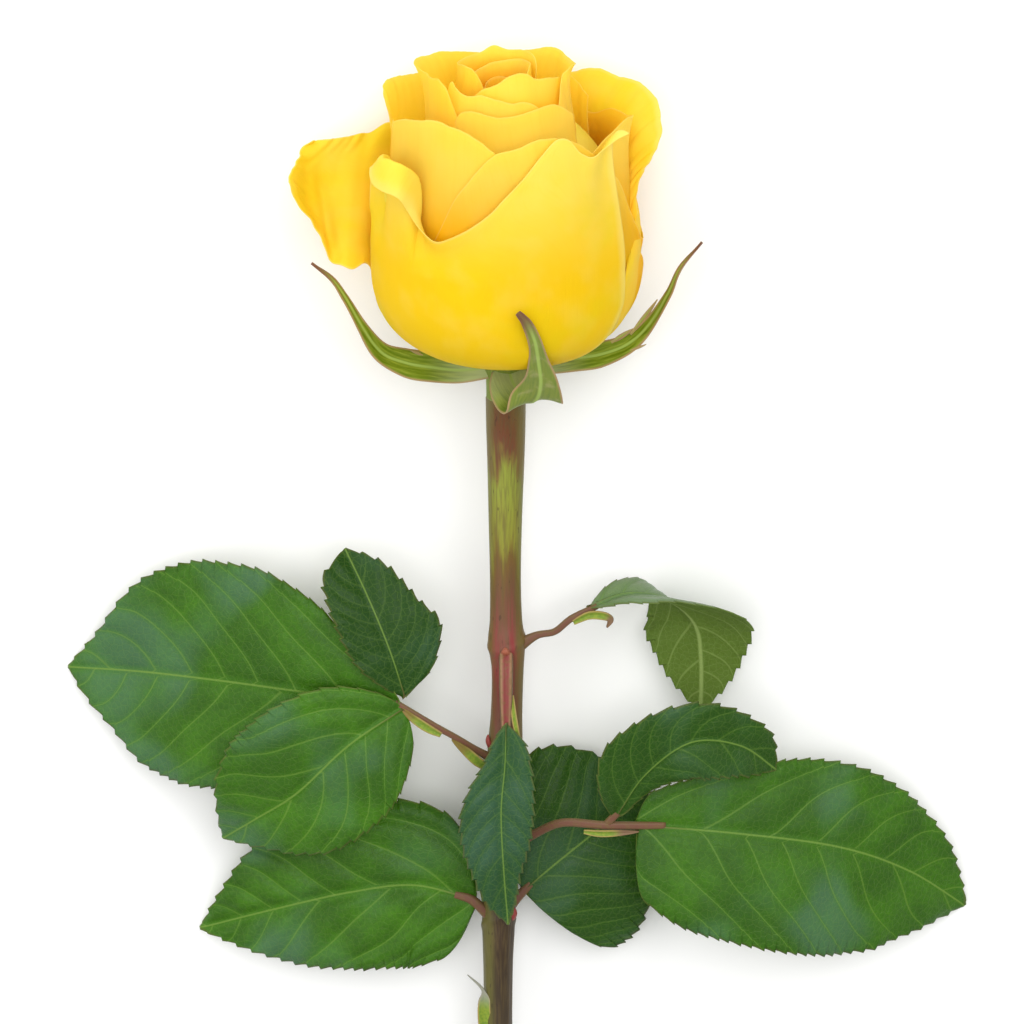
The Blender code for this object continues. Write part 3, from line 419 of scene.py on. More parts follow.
def stem_bark(colours, sizes):
    """Young rose bark: a smooth waxy skin, olive and red-brown under the bloom, green below that, red at
    the leaf nodes and grey-brown further down, streaked along its length."""
    finish, tree = new_finish("stem_bark", Roughness=0.42, IOR=1.45, Specular_IOR_Level=0.28)
    place = add(tree, "TexCoord", output="Object")
    cut, bud, thorn = readings(tree, "cut", "bud", "thorn")
    grain = grains(tree, place, sizes.grain / MM, stretch=(1, 0.035, 1))
    ragged = grains(tree, place, 1.6, 2.0, (1, 0.12, 1))
    fleck = grains(tree, place, 0.7, 1.0, (1, 0.35, 1))
    sideways, lengthwise = add(tree, "SeparateXYZ", place).node.outputs[:2]
    where = chained(tree, "ADD", lengthwise,
                    add(tree, "MapRange", ragged, 0.3, 0.7, -3.5 * MM, 3.5 * MM, **SMOOTH))
    lowest, highest = BARK[0][0] * MM, BARK[-1][0] * MM
    ramp = add(tree, "ValToRGB", add(tree, "MapRange", where, lowest, highest))
    elements = ramp.node.color_ramp.elements
    while len(elements) > 1:
        elements.remove(elements[-1])
    for number, (y, hex_colour) in enumerate(BARK):
        spot = (y * MM - lowest) / (highest - lowest)
        element = elements[0] if number == 0 else elements.new(spot)
        element.position = spot
        element.color = paint(hex_colour)
    off_middle = chained(tree, "ABSOLUTE", chained(tree, "ADD", sideways, 2.2 * MM))
    wood = layered(tree, "#7E9A4A", ("#C9CB93", cut, 0.15, 0.4), (colours.pith, cut, 0.55, 0.75))
    bark = layered(tree, ramp,
                   ("#5A4A2C", grain, 0.38, 0.68, 0.0, 0.5),
                   ("#66642C", off_middle, 1.4 * MM, 3 * MM, 0.0, 0.6),
                   ("#8E3838", bud),
                   ("#9A5A40", thorn),
                   ("#33261C", fleck, 0.68, 0.74, 0.0, 0.45),
                   (wood, cut, 0.001, 0.02))
    return dressed(finish, bark, grain, 0.12, 0.7)


def stalk_skin(colours, name="stalk_skin", groove="#6C4838", ridge=0.0):
    """Leaf stalk: the same waxy skin, red-brown above, redder in its groove, and green beneath. Ridge is
    how pale the two edges of the groove are."""
    finish, tree = new_finish(name, Roughness=0.45, IOR=1.45, Specular_IOR_Level=0.25)
    above, = readings(tree, "above")
    grain = grains(tree, add(tree, "TexCoord", output="Object"), 0.9)
    base = layered(tree, "#7A7C34",
                   (colours.stalk_red, above, -0.5, 0.35),
                   ("#B48C6A", above, 0.4, 0.6, 0.0, ridge),
                   (groove, above, 0.72, 0.93),
                   ("#6A5A30", grain, 0.45, 0.7, 0.0, 0.45))
    return dressed(finish, base, grain, 0.1, 0.5)


def stipule_skin(tip):
    """Stipule: thin light-green tissue with a tan margin, dry towards its tip."""
    finish, tree = new_finish("stipule_skin_" + tip[1:], Roughness=0.5, IOR=1.45, Specular_IOR_Level=0.2)
    edge, along = readings(tree, "edge", "along")
    grain = grains(tree, add(tree, "TexCoord", output="Object"), 0.6)
    base = layered(tree, "#7E9030",
                   ("#66802C", grain, 0.35, 0.7),
                   ("#A88A58", edge, 0.05, 0.3, 0.7, 0.0),
                   (tip, along, 0.5, 0.75))
    return dressed(finish, base, grain, 0.1, 0.5)


def floor_paint():
    """Painted board: matte, almost white, with a faint roll texture."""
    finish, tree = new_finish("floor_paint", Roughness=0.8, IOR=1.45, Specular_IOR_Level=0.2)
    place = add(tree, "TexCoord", output="Object")
    base = layered(tree, "#FBFBFA", ("#F6F6F5", grains(tree, place, 80)))
    return dressed(finish, base, grains(tree, place, 2), 0.05, 0.3)


# the bloom

ROLLED_HIGHLIGHT = 5.0            # how much wider a petal's pale edge gets where it rolls out: a painted highlight on the rolled lip
ROLLED = (20, 110)           # turn of the edge, in degrees, from which and by which it does
RIM_WAVES = (3, 5, 8, 13)    # waves along a petal's rim, by how often each goes up and down
RIM_NICKS = (21, 34)         # the finest of them, of which this share of the ripple shows
NICK_SHARE = 0.12
RISING_SHARE = 0.6           # how far the rim waves up and down, as a share of how far it waves in and out
RISING_LAG = 5               # columns by which the waves up and down trail those in and out
RIM_CLOSENESS = 1.35         # how much closer a petal's rows lie towards its rim: 1 is evenly
FOOT_SPREAD_UP = 14.0        # height by which a petal's narrow foot has reached its full width
DRAPED_WAVES = (1.1, 1.9, 3.1, 5.3)   # the same for the petal that hangs free, along its whole edge
CREASE_WIDTH = 0.05          # half the width of a crease, as a share of the petal's length
PETAL_EDGE = (1.6, 0.35)     # how far in a petal reaches its full thickness, and its share at the edge


def cup(height):
    """Radius of the cup at a height, as a share of its widest: a superellipse below, closing above."""
    low = np.clip(1 - height / WIDEST_AT, 0, 1)
    bowl = (1 - low**FULLNESS) ** (1 / FULLNESS)
    high = np.clip((height - SHOULDER) / CLOSING_RUN, 0, 3)
    return bowl * (1 - CLOSING * high**2)


def petal_grid(rim, radius, body=None, leave=24, lip=5, rise=0.4, foot=3.0, waist=1.0,
               ripple=0.25, seed=0, columns=120, rows=72, centre=(0.0, 0.0)):
    """A petal as a grid of points. It follows a cup of the given radius up to the height where it
    leaves it, and from there a Bezier arc to its rim. The rim runs through even values of angle about the
    axis in degrees from the front, distance from the axis, height, and turn of the edge in degrees from
    upright. Body is the angle of each column below the rim, lip the length of the arc's last handle, and rise
    that of its first as a share of the span. The petal starts at the height foot, waist is its width there as
    a share, ripple is how far its rim waves, and centre is the line that it is wound about."""
    u = np.linspace(0, 1, columns)[:, None]
    edge = through(rim, u[:, 0])
    angle, reach, top, turn = (edge[:, i][:, None] for i in range(4))
    turn = np.radians(turn)
    radius = through(np.atleast_1d(radius), u)
    start = through(np.atleast_1d(leave), u)
    lip = through(np.atleast_1d(lip), u)
    chance = np.random.default_rng(seed)
    wave = sum(np.sin(math.tau * (k * u + chance.random())) / k**0.5 for k in RIM_WAVES)
    nick = sum(np.sin(math.tau * (k * u + chance.random())) for k in RIM_NICKS) * NICK_SHARE
    reach = reach + ripple * wave
    top = top + ripple * (RISING_SHARE * np.roll(wave, RISING_LAG, axis=0) + nick)
    lower = rows // 3
    below = np.linspace(0, 1, lower, endpoint=False)[None, :]
    height = foot + (start - foot) * below
    distance = radius * cup(height)
    s = np.linspace(0, 1, rows - lower)[None, :]
    s = 1 - (1 - s) ** RIM_CLOSENESS
    base = radius * cup(start)
    lean = (radius * cup(start + 0.5) - base) / 0.5
    span = np.hypot(reach - base, top - start)
    near = rise * span / np.hypot(lean, 1)
    far = np.minimum(lip, span)
    weights = [(1 - s) ** 3, 3 * s * (1 - s) ** 2, 3 * s**2 * (1 - s), s**3]
    outs = [base, base + lean * near, reach - np.sin(turn) * far, reach]
    ups = [start, start + near, top - np.cos(turn) * far, top]
    distance = np.concatenate([distance, sum(w * r for w, r in zip(weights, outs))], 1)
    height = np.concatenate([height, sum(w * h for w, h in zip(weights, ups))], 1)
    turned = angle if body is None else through(body, u)
    spread = waist + (1 - waist) * np.clip(height[:, :lower] / FOOT_SPREAD_UP, 0, 1) ** 0.7
    middle = (turned[0] + turned[-1]) / 2
    low_angle = middle + (turned - middle) * spread
    high_angle = turned + (angle - turned) * s**1.3
    around = np.radians(np.concatenate([low_angle, high_angle], 1))
    return in_bloom(distance * np.sin(around) + centre[0], distance * np.cos(around) + centre[1], height)


def run_lengths(grid, axis):
    """Length along the grid's lines from their first point."""
    steps = np.linalg.norm(np.diff(grid, axis=axis), axis=-1)
    pad = [(0, 0), (0, 0)]
    pad[axis] = (1, 0)
    return np.pad(np.cumsum(steps, axis=axis), pad)


def petal(name, rim, radius, finish, **form):
    """One petal of the cup. Its pale edge is wider where its rim rolls out: a painted highlight on the rolled
    lip.
    """
    grid = petal_grid(rim, radius, **form)
    turn = through(rim, np.linspace(0, 1, len(grid)))[:, 3]
    return petal_piece(name, grid, finish, 1 + ROLLED_HIGHLIGHT * step(*ROLLED, turn))


def draped(name, angles, radius, net, finish, crease, ripple, seed):
    """A petal that leaves the cup and hangs free: a smooth sheet through rows of points in the bloom's
    frame, carried on from two rows on the cup at the given angles. Its rim and sides are ruffled, and a
    crease runs across its rows, given by the rows' shares where it starts and ends, and its depth."""
    columns, rows = 110, 120
    turns = np.radians(np.array(angles, float))
    low = [np.stack([r * np.sin(turns), r * np.cos(turns), h + 0 * turns], -1)
           for r, h in ((radius * 0.3, 1.0), (radius * cup(6.0), 6.0))]
    points = np.array([*low, *np.array(net, float)])
    v = np.linspace(0, 1, rows)
    u = np.linspace(0, 1, columns)
    sheet = through(points, v)
    sheet = through(sheet.transpose(1, 0, 2), u)
    chance = np.random.default_rng(seed)
    free = step(0.3, 0.62, v)[None, :]
    margin = np.maximum(step(0.75, 1.0, v)[None, :], step(0.62, 1.0, np.abs(2 * u - 1))[:, None])
    run = u[:, None] + v[None, :] * 2.2
    wave = sum(np.sin(math.tau * (k * run + chance.random())) / k**0.7 for k in DRAPED_WAVES)
    normals = unit(np.cross(np.gradient(sheet, axis=0), np.gradient(sheet, axis=1)))
    start, end, depth = crease
    line = start + (end - start) * u[:, None]
    valley = depth * np.exp(-((v[None, :] - line) / CREASE_WIDTH) ** 2)
    valley = valley * (1 - step(0.45, 0.85, u))[:, None]
    sheet = sheet + normals * (ripple * wave * margin * free + valley)[..., None]
    return petal_piece(name, in_bloom(*np.moveaxis(sheet, -1, 0)), finish)


def petal_piece(name, grid, finish, pale=1.0):
    """A petal's grid given a wall that thins to the edges, and kept above the surface it lies on. Pale is
    how much wider its pale edge, with the painted highlight of a rolled lip, is than a flat petal's, for each
    column."""
    up_run = run_lengths(grid, 1)
    across = run_lengths(grid, 0)
    across = across - across[-1:] / 2
    level = (grid - BLOOM_BASE) @ AXIS
    edge = np.minimum(up_run[:, -1:] - up_run, np.abs(across[-1:]) - np.abs(across))
    inset, thin = PETAL_EDGE
    wall = bpy.context.scene.rose_sizes.petal / MM / 2 * (thin + (1 - thin) * step(0.0, inset, edge))
    grid[..., 2] = np.maximum(grid[..., 2], wall)
    points, faces = shell(grid, wall, wall)
    readings = {
        "level": np.tile(level.ravel(), 2),
        "edge": np.tile((edge / np.reshape(pale, (-1, 1))).ravel(), 2),
        "inner": np.repeat([1.0, 0.0], level.size),
    }
    flat = np.tile(np.stack([across.ravel(), up_run.ravel()], -1), (2, 1)) * MM
    return piece(name, points, faces, "bloom", finish, readings, flat)


def outer_petals(guard, plain, under):
    """The petals that build the outside of the cup, from the front one round to the back."""
    petal("front_petal", [
        (-79, 24.9, 29, 10), (-76, 25.1, 33.5, 30), (-72, 25.6, 37.4, 75), (-67, 26.4, 39.2, 120),
        (-62, 27.5, 39, 150), (-56, 28.5, 38.4, 165), (-50, 28.6, 38.2, 168),
        (-45, 28.2, 37.9, 165), (-43, 27.4, 37, 150), (-42, 26, 34.5, 100), (-38, 24.9, 31.4, 50),
        (-31, 24.8, 29.7, 30), (-24, 24.8, 30.8, 22), (-16, 24.8, 33, 16), (-7, 24.7, 36.2, 12),
        (0, 24.4, 39.6, 8), (8, 24, 43.1, 6), (15, 23.8, 46.7, 5), (22, 23.6, 49.4, 4),
        (28, 23.6, 49.2, 4), (34, 23.7, 46.2, 8), (40, 24, 44.8, 20), (46, 24.3, 45.7, 45),
        (52, 25, 46.8, 80), (58, 26, 47.4, 110)],
        (24.8, 24.8, 24.8, 24.8, 25.2), plain, leave=22, seed=1, columns=190, rows=110, waist=0.8,
        lip=(3, 3, 5, 10, 13, 15, 17, 18, 16, 6, 5, 4, 4, 4, 4, 4, 4, 4, 4, 4, 4, 5, 6, 7, 8), ripple=0.08)
    petal("right_under_petal", [
        (44, 22, 38, 5), (60, 22.6, 38, 5), (74, 23.6, 28, 5), (86, 24.6, 22, 12), (98, 24.8, 21, 20),
        (112, 24.6, 24, 10), (135, 24.4, 30, 5)],
        (22.8, 23.4, 24.7, 24.7, 24.6), under, leave=(14, 16, 16, 15, 14), seed=2, ripple=0.12,
        waist=0.9, foot=2, columns=96)
    petal("right_wing_petal", [
        (79, 23.4, 25, 10), (86, 23.6, 28.6, 20), (93, 24.2, 32, 40), (97, 25.8, 33.8, 55),
        (100, 27.2, 35.6, 60), (104, 28.6, 38, 62), (108, 29.7, 41, 60), (113, 29.6, 43.4, 55),
        (122, 28.7, 44.9, 50), (132, 27.4, 44.9, 42), (142, 26.4, 45.4, 32), (154, 26, 43.8, 20),
        (168, 24.8, 41, 10)],
        24.2, guard, body=(60, 66, 73, 81, 90, 99, 108, 117, 126, 136, 146, 157, 168),
        leave=(16, 18, 20, 21, 22, 24, 25, 26, 27, 27, 27, 27, 27),
        lip=(4, 6, 8, 10, 12, 12, 12, 10, 8, 6, 5), seed=3, ripple=0.3, waist=0.85, columns=128, rows=90)
    draped("left_wing_petal", (-84, -95, -108, -122, -138), 25.2, [
        [(-24.7, 2, 16.3), (-24.3, -3, 19), (-23.4, -9, 23), (-22, -15, 28.1), (-19.1, -19.5, 33.2)],
        [(-28.1, 5, 17.1), (-28.3, 0.5, 20.7), (-27.7, -6, 24.9), (-26.8, -11, 30), (-25.2, -17, 34.4)],
        [(-32.4, 3, 19.9), (-32.4, -3.5, 22), (-31.9, -7.5, 25.7), (-31, -9.5, 30.7), (-28.8, -14, 34.9)],
        [(-35.7, 0, 24.8), (-36, -4.5, 25.8), (-35.7, -6.5, 28.4), (-34.8, -7.5, 32.1), (-32.6, -11, 35.6)],
        [(-39.3, 0, 32), (-38.7, -1.5, 33.6), (-37.8, -4, 34.6), (-36.8, -6.5, 35.6), (-35.1, -9, 36.2)]],
        guard, seed=4, ripple=0.3, crease=(0.6, 0.84, 0.9))
    petal("left_guard_petal", [
        (-56, 23.8, 12, 4), (-66, 23.8, 19, 4), (-78, 23.9, 23, 4), (-94, 24.2, 23, 4),
        (-112, 24.2, 20, 0)],
        (23.6, 23.8, 23.9, 24.3, 24.2), guard, body=(-50, -64, -80, -96, -112),
        leave=(7, 11, 14, 14, 10), seed=5, ripple=0.12, waist=0.8, columns=64, rows=48, foot=2)
    petal("left_back_petal", [
        (-54, 22.6, 36, 3), (-68, 22.8, 39, 5), (-84, 23.2, 37, 5), (-108, 23.6, 32, 5), (-134, 23.8, 31, 5),
        (-155, 23.6, 32, 5)],
        (23, 23.1, 23.4, 24, 24.2), plain, leave=22, seed=6, waist=0.9, columns=96)
    petal("back_petal", [
        (150, 25, 34, 15), (162, 26, 40, 35), (176, 26.4, 43.5, 50), (190, 26.4, 43.5, 50),
        (204, 26, 41, 40), (216, 25.2, 35, 20)],
        (25.2, 25.9, 25.9, 25.2), guard, leave=20, lip=6, seed=7, ripple=0.3, waist=0.9, columns=96)


def middle_petals(plain, far):
    """The petals that show inside the outer ones, still wide and upright."""
    petal("second_front_petal", [
        (-44, 22.4, 22, 0), (-34, 22, 29.4, 0), (-25, 21.8, 37, 0), (-18, 21.8, 40.8, 0),
        (-11, 21.8, 44.4, 2), (-4, 21.8, 46.8, 2), (5, 21.8, 47.7, 3), (12, 21.8, 48.9, 4),
        (19, 21.8, 49.2, 5), (27, 21.8, 48.7, 5), (36, 21.8, 47, 5), (52, 21.8, 42, 5)],
        23.2, plain, leave=20, seed=8, ripple=0.08, foot=14)
    petal("inner_left_petal", [
        (-112, 19.8, 36, 0), (-92, 20.2, 43.6, 2), (-76, 20.4, 46, 4), (-62, 20.4, 48.4, 4),
        (-50, 20.4, 49.6, 3), (-38, 20.4, 50.8, 3), (-27, 20.4, 50.3, 2), (-18, 20.4, 49.4, 2),
        (-9, 20.4, 47.3, 2), (0, 20.4, 44.1, 0), (14, 20.2, 37, 0)],
        (20.6, 21.4, 22, 22), plain, seed=9, ripple=0.1, foot=14)
    petal("left_far_petal", [
        (-84, 19, 36, 0), (-97, 20.2, 39.6, 10), (-106, 22, 42.6, 30), (-112, 24, 45.8, 45),
        (-118, 24.5, 46.7, 45), (-125, 24.9, 46.5, 42), (-133, 24.9, 45.8, 36), (-142, 25, 45, 28),
        (-156, 24.4, 43.6, 15), (-176, 23.4, 42, 5)],
        (18.4, 20.4, 22.2, 22.6, 22.6), far, leave=(26, 30, 31, 28, 26), seed=10, ripple=0.2,
        foot=14, body=(-72, -92, -112, -140, -176), columns=96)
    petal("right_pocket_petal", [
        (36, 19.8, 40, 5), (56, 20.6, 44.6, 8), (76, 22, 46.4, 15), (92, 22.8, 44.6, 22),
        (106, 22.9, 42.4, 22), (122, 22.5, 41.4, 15), (136, 22.2, 38.8, 8), (150, 21.8, 39.4, 5),
        (176, 21.4, 42, 0)],
        (21, 22, 22.6, 22.6, 22), plain, leave=26, seed=11, ripple=0.12, foot=14, columns=96)
    petal("ring_back_petal", [
        (128, 19, 44, 5), (146, 19.4, 46.6, 15), (164, 19.4, 47.6, 20), (184, 19.2, 47.8, 20),
        (204, 19, 47.4, 15), (226, 18.6, 45, 5)],
        19.4, far, leave=34, seed=15, ripple=0.2, foot=18, columns=96)
    petal("ring_left_petal", [
        (-34, 14.8, 48.6, 0), (-44, 14.6, 53.6, 0), (-54, 14.6, 55.4, 0), (-65, 14.6, 54.9, 3),
        (-77, 14.8, 54.7, 15), (-92, 16.2, 54.6, 38), (-110, 17, 53.7, 46), (-124, 17, 52.8, 44),
        (-136, 17, 52.3, 36), (-148, 17, 51.4, 28), (-160, 16.6, 50.8, 20), (-178, 16, 50.2, 10)],
        (16.6, 15.4, 14.8, 15.8, 17.2), far, leave=(38, 38, 39, 38, 36), lip=(3, 3, 4, 5, 5), seed=13,
        ripple=0.14, foot=20)
    petal("ring_right_petal", [
        (42, 13.4, 47, 0), (52, 12.2, 52, 0), (61, 11.6, 55, 8), (70, 12.2, 56.2, 30),
        (88, 12.4, 55.2, 50), (106, 12.7, 53.9, 50), (122, 13.2, 53.5, 40), (136, 14, 53.5, 32),
        (148, 14.4, 53.2, 28), (160, 14.4, 52.3, 22), (174, 14.4, 51.6, 16), (192, 14.6, 50.4, 8)],
        (17, 13.6, 13, 14, 15.2), plain, leave=(37, 38, 40, 40, 38), lip=(3, 3, 4, 4, 4), seed=12,
        ripple=0.12, foot=20)
    petal("ring_front_petal", [
        (-54, 15.6, 38, 0), (-46, 15.2, 43.4, 0), (-39, 14.9, 47.6, 0), (-34, 14.8, 50.4, 0),
        (-28, 14.8, 51.3, 2), (-21, 14.8, 51.5, 3), (-13, 14.8, 51.1, 3), (-4, 14.8, 50.8, 3),
        (6, 14.8, 51.1, 2), (16, 14.8, 51.7, 0), (26, 14.8, 52.2, 0), (38, 14.8, 52, 0),
        (56, 14.6, 48.6, 0)],
        (18, 18.6, 18.6, 18.6, 17.6), plain, leave=30, seed=14, ripple=0.06, foot=18)
    petal("ring_near_petal", [
        (-64, 13.6, 46.4, 0), (-56, 13, 51.4, 0), (-50, 12.7, 54.9, 2), (-44, 12.7, 54.1, 3),
        (-37, 12.8, 53.4, 3), (-29, 12.8, 53.4, 3), (-20, 12.8, 54, 3), (-12, 12.8, 53.6, 3),
        (-4, 12.8, 53.2, 3), (5, 12.8, 52.7, 3), (15, 12.8, 52.8, 2), (25, 13, 51.7, 0), (40, 13.4, 48, 0)],
        (14.8, 15.6, 15.8, 15.4), plain, leave=36, seed=16, ripple=0.06, foot=22)


def heart_petals(plain):
    """The furled petals in the middle, wound about a line a little to the left of the axis."""
    petal("heart_front_petal", [
        (-48, 11.2, 47.4, 0), (-38, 10.9, 51.4, 0), (-29, 10.6, 53.1, 2), (-22, 10.5, 54.2, 3),
        (-14, 10.4, 54.8, 4), (-6, 10.3, 55.6, 6), (2, 10.3, 56.7, 8), (11, 10.3, 57.3, 8),
        (21, 10.4, 57.1, 6), (31, 10.4, 55.8, 4), (43, 10.5, 55.5, 4), (56, 10.5, 54.8, 2),
        (70, 10.4, 53.8, 0), (86, 10.4, 50, 0)],
        (13.6, 14, 13.8, 12.6), plain, leave=42, lip=3, seed=20, ripple=0.05, foot=28)
    turns = [
        ("heart_left_petal", (-2, -1.5), 8.4, 34, [
            (-10, 6.2, 50, 0), (-30, 6.3, 54.6, 2), (-50, 6.5, 55.6, 4), (-76, 6.6, 55, 8),
            (-106, 6.8, 54, 14), (-134, 6.8, 53.9, 16), (-158, 6.8, 54, 16), (-178, 6.9, 55.1, 16),
            (-200, 6.8, 54.6, 14), (-224, 6.8, 55.1, 12), (-250, 6.9, 55.5, 12), (-274, 7.4, 54.8, 10),
            (-294, 7.8, 51, 0)]),
        ("heart_inner_petal", (-0.6, 0.6), 6.2, 38, [
            (-30, 4.8, 49, 0), (-52, 4.9, 52.4, 2), (-76, 5.1, 53.4, 4), (-108, 5, 53.2, 6),
            (-136, 4.9, 53.3, 10), (-158, 4.9, 53.7, 12), (-186, 4.9, 54, 14), (-218, 4.9, 54.6, 12),
            (-248, 4.9, 55, 8), (-278, 5, 55.4, 4), (-302, 5.2, 54.6, 0), (-326, 5.4, 51, 0)]),
        ("heart_furled_petal", (-1, 0.4), 4, 40, [
            (60, 2.9, 48, 0), (110, 3.1, 50.6, 6), (170, 3.2, 51.4, 10), (230, 3, 51, 6),
            (290, 2.8, 48.6, 0)]),
        ("heart_bud_petal", (-1.4, 0.6), 2.6, 40, [
            (-60, 1.6, 46, 0), (30, 1.8, 48.4, 4), (130, 1.8, 49, 6), (240, 1.4, 47.6, 0)]),
    ]
    for number, (name, centre, radius, foot, rim) in enumerate(turns):
        petal(name, rim, radius, plain, leave=44, rise=0.3, lip=3, seed=21 + number,
              ripple=0.06, foot=foot, rows=48, centre=centre)


def heart_core(finish):
    """The closed heart that shows as warm shade between the petals: a turned profile, round at the top."""
    low, tall, widest, rounded_from, rounding = 1.5, 46.0, 21.6, 22, 25.6
    height = low + np.linspace(0, 1, 40) * tall
    shrunk = np.clip((height - rounded_from) / rounding, 0, 1)
    radius = widest * cup(height) * np.sqrt(np.clip(1 - shrunk**2, 0, 1))
    turn = np.linspace(0, math.tau, 48, endpoint=False)
    loops = in_bloom(radius[:, None] * np.sin(turn), radius[:, None] * np.cos(turn),
                     height[:, None] + 0 * turn)
    points, faces = skin(loops)
    zeros = np.zeros(len(points))
    readings = {"level": (points - BLOOM_BASE) @ AXIS, "edge": zeros + 9, "inner": zeros}
    return piece("petal_heart", points, faces, "bloom", finish, readings, points[:, :2] * MM)


# calyx, leaves and stem

def blade_frame(path, normals, t):
    """Middle line, forward, sideways and upward directions of a blade at t from 0 to 1."""
    middle = through(path, t)
    along = unit(np.gradient(middle, axis=0))
    up = unit(through(normals, t))
    side = unit(np.cross(along, up))
    return middle, along, side, np.cross(side, along)


SEPAL_WIDTHS = (0.5, 0.92, 1.0, 0.72, 0.4, 0.24, 0.1)
SEPAL_THREAD = 0.28  # half a sepal's width where it is no more than a thread
SEPAL_WALL = 0.22    # half its thickness away from its edges and its midrib
SEPAL_RIB = 0.25     # how far its midrib stands out on its back
LOBE_LEAN = 0.22     # how far a side lobe goes outwards for each step along the sepal
LOBE_WALL = 0.14     # half the thickness of a lobe


def sepal(name, path, normals, width, finish, fold=0.5, lobes=(), share=SEPAL_WIDTHS):
    """One sepal: a blade folded along its middle, widest near its foot, that runs out to a thread. Lobes
    are slender side blades, each given by where along it starts, its side, length and width."""
    stations = 110
    t = np.linspace(0, 1, stations)
    world = in_bloom(*np.array(path, float).T)
    middle, along, side, up = blade_frame(world, normals, t)
    half = np.maximum(through(share, t) * width / 2, SEPAL_THREAD)
    q = np.linspace(-1, 1, 25)
    x = q[:, None] * half
    lift = fold * np.sqrt(x**2 + 0.3) - 0.05 * x**2 + 0.12 * np.abs(q[:, None]) ** 3 * np.sin(t * 31)
    grid = middle[None] + side[None] * x[..., None] + up[None] * lift[..., None]
    wall = SEPAL_WALL * (0.4 + 0.6 * step(0, 0.8, half - np.abs(x)))
    parts = [shell(grid, wall, wall + SEPAL_RIB * np.exp(-(x / 0.35) ** 2))]
    length = run_lengths(grid, 1)
    values = [(x, half - np.abs(x), length / length[:, -1:], length)]
    for start, hand, reach, wide in lobes:
        i = int(start * (stations - 1))
        s = np.linspace(0, 1, 30)
        root = middle[i] + side[i] * hand * half[i] * 0.7 + up[i] * fold * half[i] * 0.7
        lean = side[i] * hand * LOBE_LEAN + along[i]
        line = root + s[:, None] * reach * lean + up[i] * (0.15 * reach * s**2)[:, None]
        lobe_half = wide / 2 * np.sin(np.pi * np.clip(s, 0.12, 0.97)) ** 0.7 * (1 - 0.35 * s)
        p = np.linspace(-1, 1, 9)
        lx = p[:, None] * lobe_half
        lobe_side = unit(np.cross(unit(np.gradient(line, axis=0)), up[i]))
        lobe_grid = line[None] + lobe_side[None] * lx[..., None] + up[i] * (0.3 * np.abs(lx))[..., None]
        parts.append(shell(lobe_grid, LOBE_WALL, LOBE_WALL))
        run = run_lengths(lobe_grid, 1)
        values.append((lx, lobe_half - np.abs(lx), 0.35 + 0.5 * run / run[:, -1:], run))
    points, faces = merged(parts)
    readings = {
        "rib": np.concatenate([np.tile(np.abs(v[0]).ravel(), 2) for v in values]),
        "edge": np.concatenate([np.tile(v[1].ravel(), 2) for v in values]),
        "along": np.concatenate([np.tile(v[2].ravel(), 2) for v in values]),
        "inner": np.concatenate([np.repeat([1.0, 0.0], v[0].size) for v in values]),
    }
    flat = np.concatenate([np.tile(np.stack([v[0].ravel(), v[3].ravel()], -1), (2, 1)) for v in values])
    return piece(name, points, faces, "calyx", finish, readings, flat * MM)


HIP_HEIGHTS = (-10.5, -0.3)    # where the hip starts and ends along the bloom's axis
HIP_RADII = (3.6, 3.6, 3.65, 3.8, 4.3, 4.9, 4.7)
HIP_RIBS, HIP_RIB_RISE = 5, 0.018   # its ribs, and how high they are as a share of its radius


def hip(finish):
    """The swollen top of the stem: a turned profile with five shallow ribs."""
    heights = np.linspace(*HIP_HEIGHTS, 40)
    radius = through(HIP_RADII, np.linspace(0, 1, 40))
    turn = np.linspace(0, math.tau, 60, endpoint=False)
    wide = radius[:, None] * (1 + HIP_RIB_RISE * np.cos(HIP_RIBS * turn))
    loops = in_bloom(wide * np.sin(turn), wide * np.cos(turn), heights[:, None] + 0 * turn)
    points, faces = skin(loops[:, ::-1])
    zeros = np.zeros(len(points))
    readings = {"rib": zeros + 5, "edge": zeros + 5, "along": zeros + 0.4, "inner": zeros}
    return piece("hip", points, faces, "calyx", finish, readings, points[:, :2] * MM)


BASE_ROUNDING = 2.6   # how far along a blade its rounded base runs
VEIN_SLANT = 0.85     # how far a side vein runs forward for each step outwards
VEIN_NEARNESS = 0.72  # distance of two side veins, square to them, as a share of that along the midrib
TOOTH_LEAN = 0.55     # how far a tooth's tip points forward, as a share of its depth
UV_SHIFT = 97.0       # how far apart the leaves lie on the flattened surface, for unlike patterns
GROOVE_TURN = 0.5     # half the angle, in radians, that the groove of a leaf's stalk takes up


